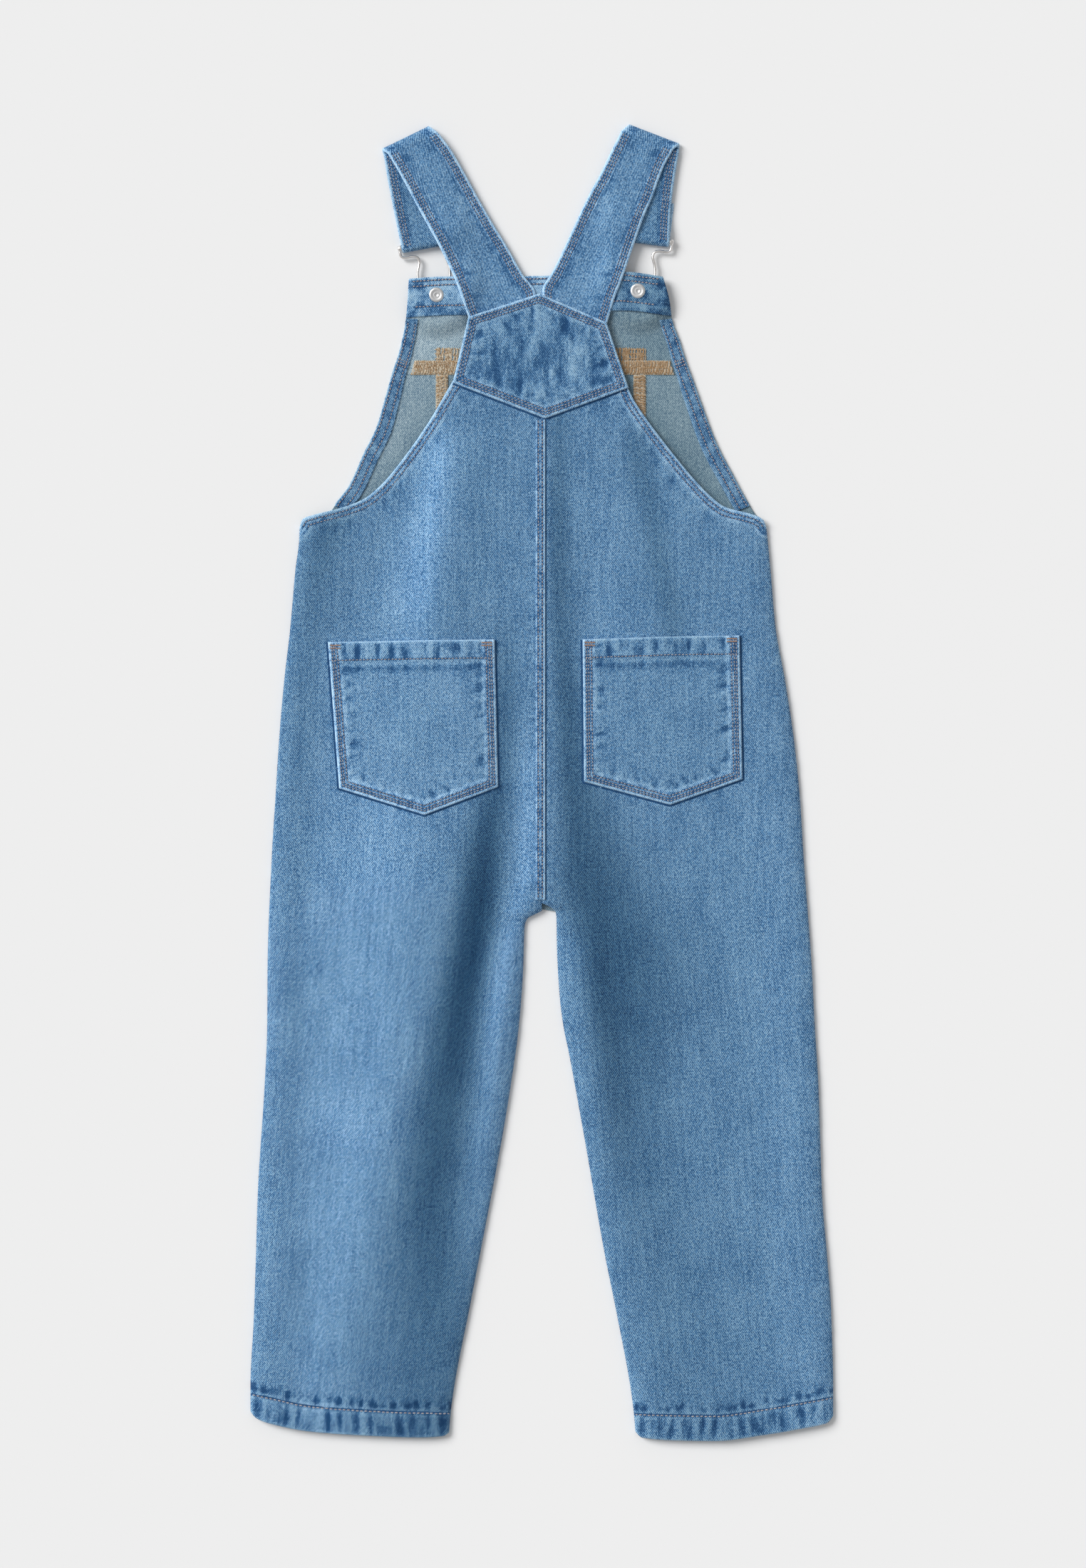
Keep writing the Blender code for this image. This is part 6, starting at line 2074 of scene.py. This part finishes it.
class OVERALLS_OT_pockets(bpy.types.Operator):
    """Builds the two patch pockets"""

    bl_idname = "overalls.pockets"
    bl_label = "Pockets"

    def execute(self, context):
        make_pockets()
        return {"FINISHED"}


class OVERALLS_OT_centre_seam(bpy.types.Operator):
    """Builds the felled seam of the back"""

    bl_idname = "overalls.centre_seam"
    bl_label = "Centre back seam"

    def execute(self, context):
        make_centre_seam()
        return {"FINISHED"}


class OVERALLS_OT_straps(bpy.types.Operator):
    """Builds the two shoulder straps"""

    bl_idname = "overalls.straps"
    bl_label = "Straps"

    def execute(self, context):
        make_straps()
        return {"FINISHED"}


class OVERALLS_OT_yoke(bpy.types.Operator):
    """Builds the back yoke"""

    bl_idname = "overalls.yoke"
    bl_label = "Yoke"

    def execute(self, context):
        make_yoke()
        return {"FINISHED"}


class OVERALLS_OT_buckles(bpy.types.Operator):
    """Builds the two wire buckles"""

    bl_idname = "overalls.buckles"
    bl_label = "Buckles"

    def execute(self, context):
        make_buckles()
        return {"FINISHED"}


class OVERALLS_OT_buttons(bpy.types.Operator):
    """Builds the tack buttons and their rivet backs"""

    bl_idname = "overalls.buttons"
    bl_label = "Buttons"

    def execute(self, context):
        make_buttons()
        return {"FINISHED"}


class OVERALLS_OT_stitching(bpy.types.Operator):
    """Sews the rows of stitches"""

    bl_idname = "overalls.stitching"
    bl_label = "Stitching"

    def execute(self, context):
        make_stitching()
        return {"FINISHED"}


class OVERALLS_OT_overlock(bpy.types.Operator):
    """Sews the overlock threads"""

    bl_idname = "overalls.overlock"
    bl_label = "Overlock"

    def execute(self, context):
        make_overlock()
        return {"FINISHED"}


class OVERALLS_OT_stage(bpy.types.Operator):
    """Builds the floor, lights and camera"""

    bl_idname = "overalls.stage"
    bl_label = "Stage"

    def execute(self, context):
        make_stage()
        return {"FINISHED"}


# In the order in which they run
OPERATORS = (
    OVERALLS_OT_fronts, OVERALLS_OT_bib, OVERALLS_OT_bib_hem, OVERALLS_OT_facings,
    OVERALLS_OT_inside_seams, OVERALLS_OT_backs, OVERALLS_OT_inner_hems, OVERALLS_OT_pockets,
    OVERALLS_OT_centre_seam, OVERALLS_OT_straps, OVERALLS_OT_yoke, OVERALLS_OT_buckles,
    OVERALLS_OT_buttons, OVERALLS_OT_stitching, OVERALLS_OT_overlock, OVERALLS_OT_stage,
)


class OVERALLS_PT_pieces(bpy.types.Panel):
    """Lists the pieces and their settings."""

    bl_label = "Overalls"
    bl_idname = "OVERALLS_PT_pieces"
    bl_space_type = "VIEW_3D"
    bl_region_type = "UI"
    bl_category = "Overalls"

    def draw(self, context):
        column = self.layout.column()
        for group in (context.scene.overalls_sizes, context.scene.overalls_colours):
            for name in group.__annotations__:
                column.prop(group, name)
        for kind in OPERATORS:
            column.operator(kind.bl_idname)


CLASSES = (OverallsSizes, OverallsColours, *OPERATORS, OVERALLS_PT_pieces)


def register():
    """Makes the settings, operators and panel known to Blender."""
    for kind in CLASSES:
        bpy.utils.register_class(kind)
    bpy.types.Scene.overalls_sizes = PointerProperty(type=OverallsSizes)
    bpy.types.Scene.overalls_colours = PointerProperty(type=OverallsColours)


def unregister():
    """Takes them away again."""
    del bpy.types.Scene.overalls_colours
    del bpy.types.Scene.overalls_sizes
    for kind in reversed(CLASSES):
        bpy.utils.unregister_class(kind)


def main():
    """Builds every piece in order."""
    register()
    for kind in OPERATORS:
        getattr(bpy.ops.overalls, kind.bl_idname.split(".")[1])()


if __name__ == "__main__":
    main()
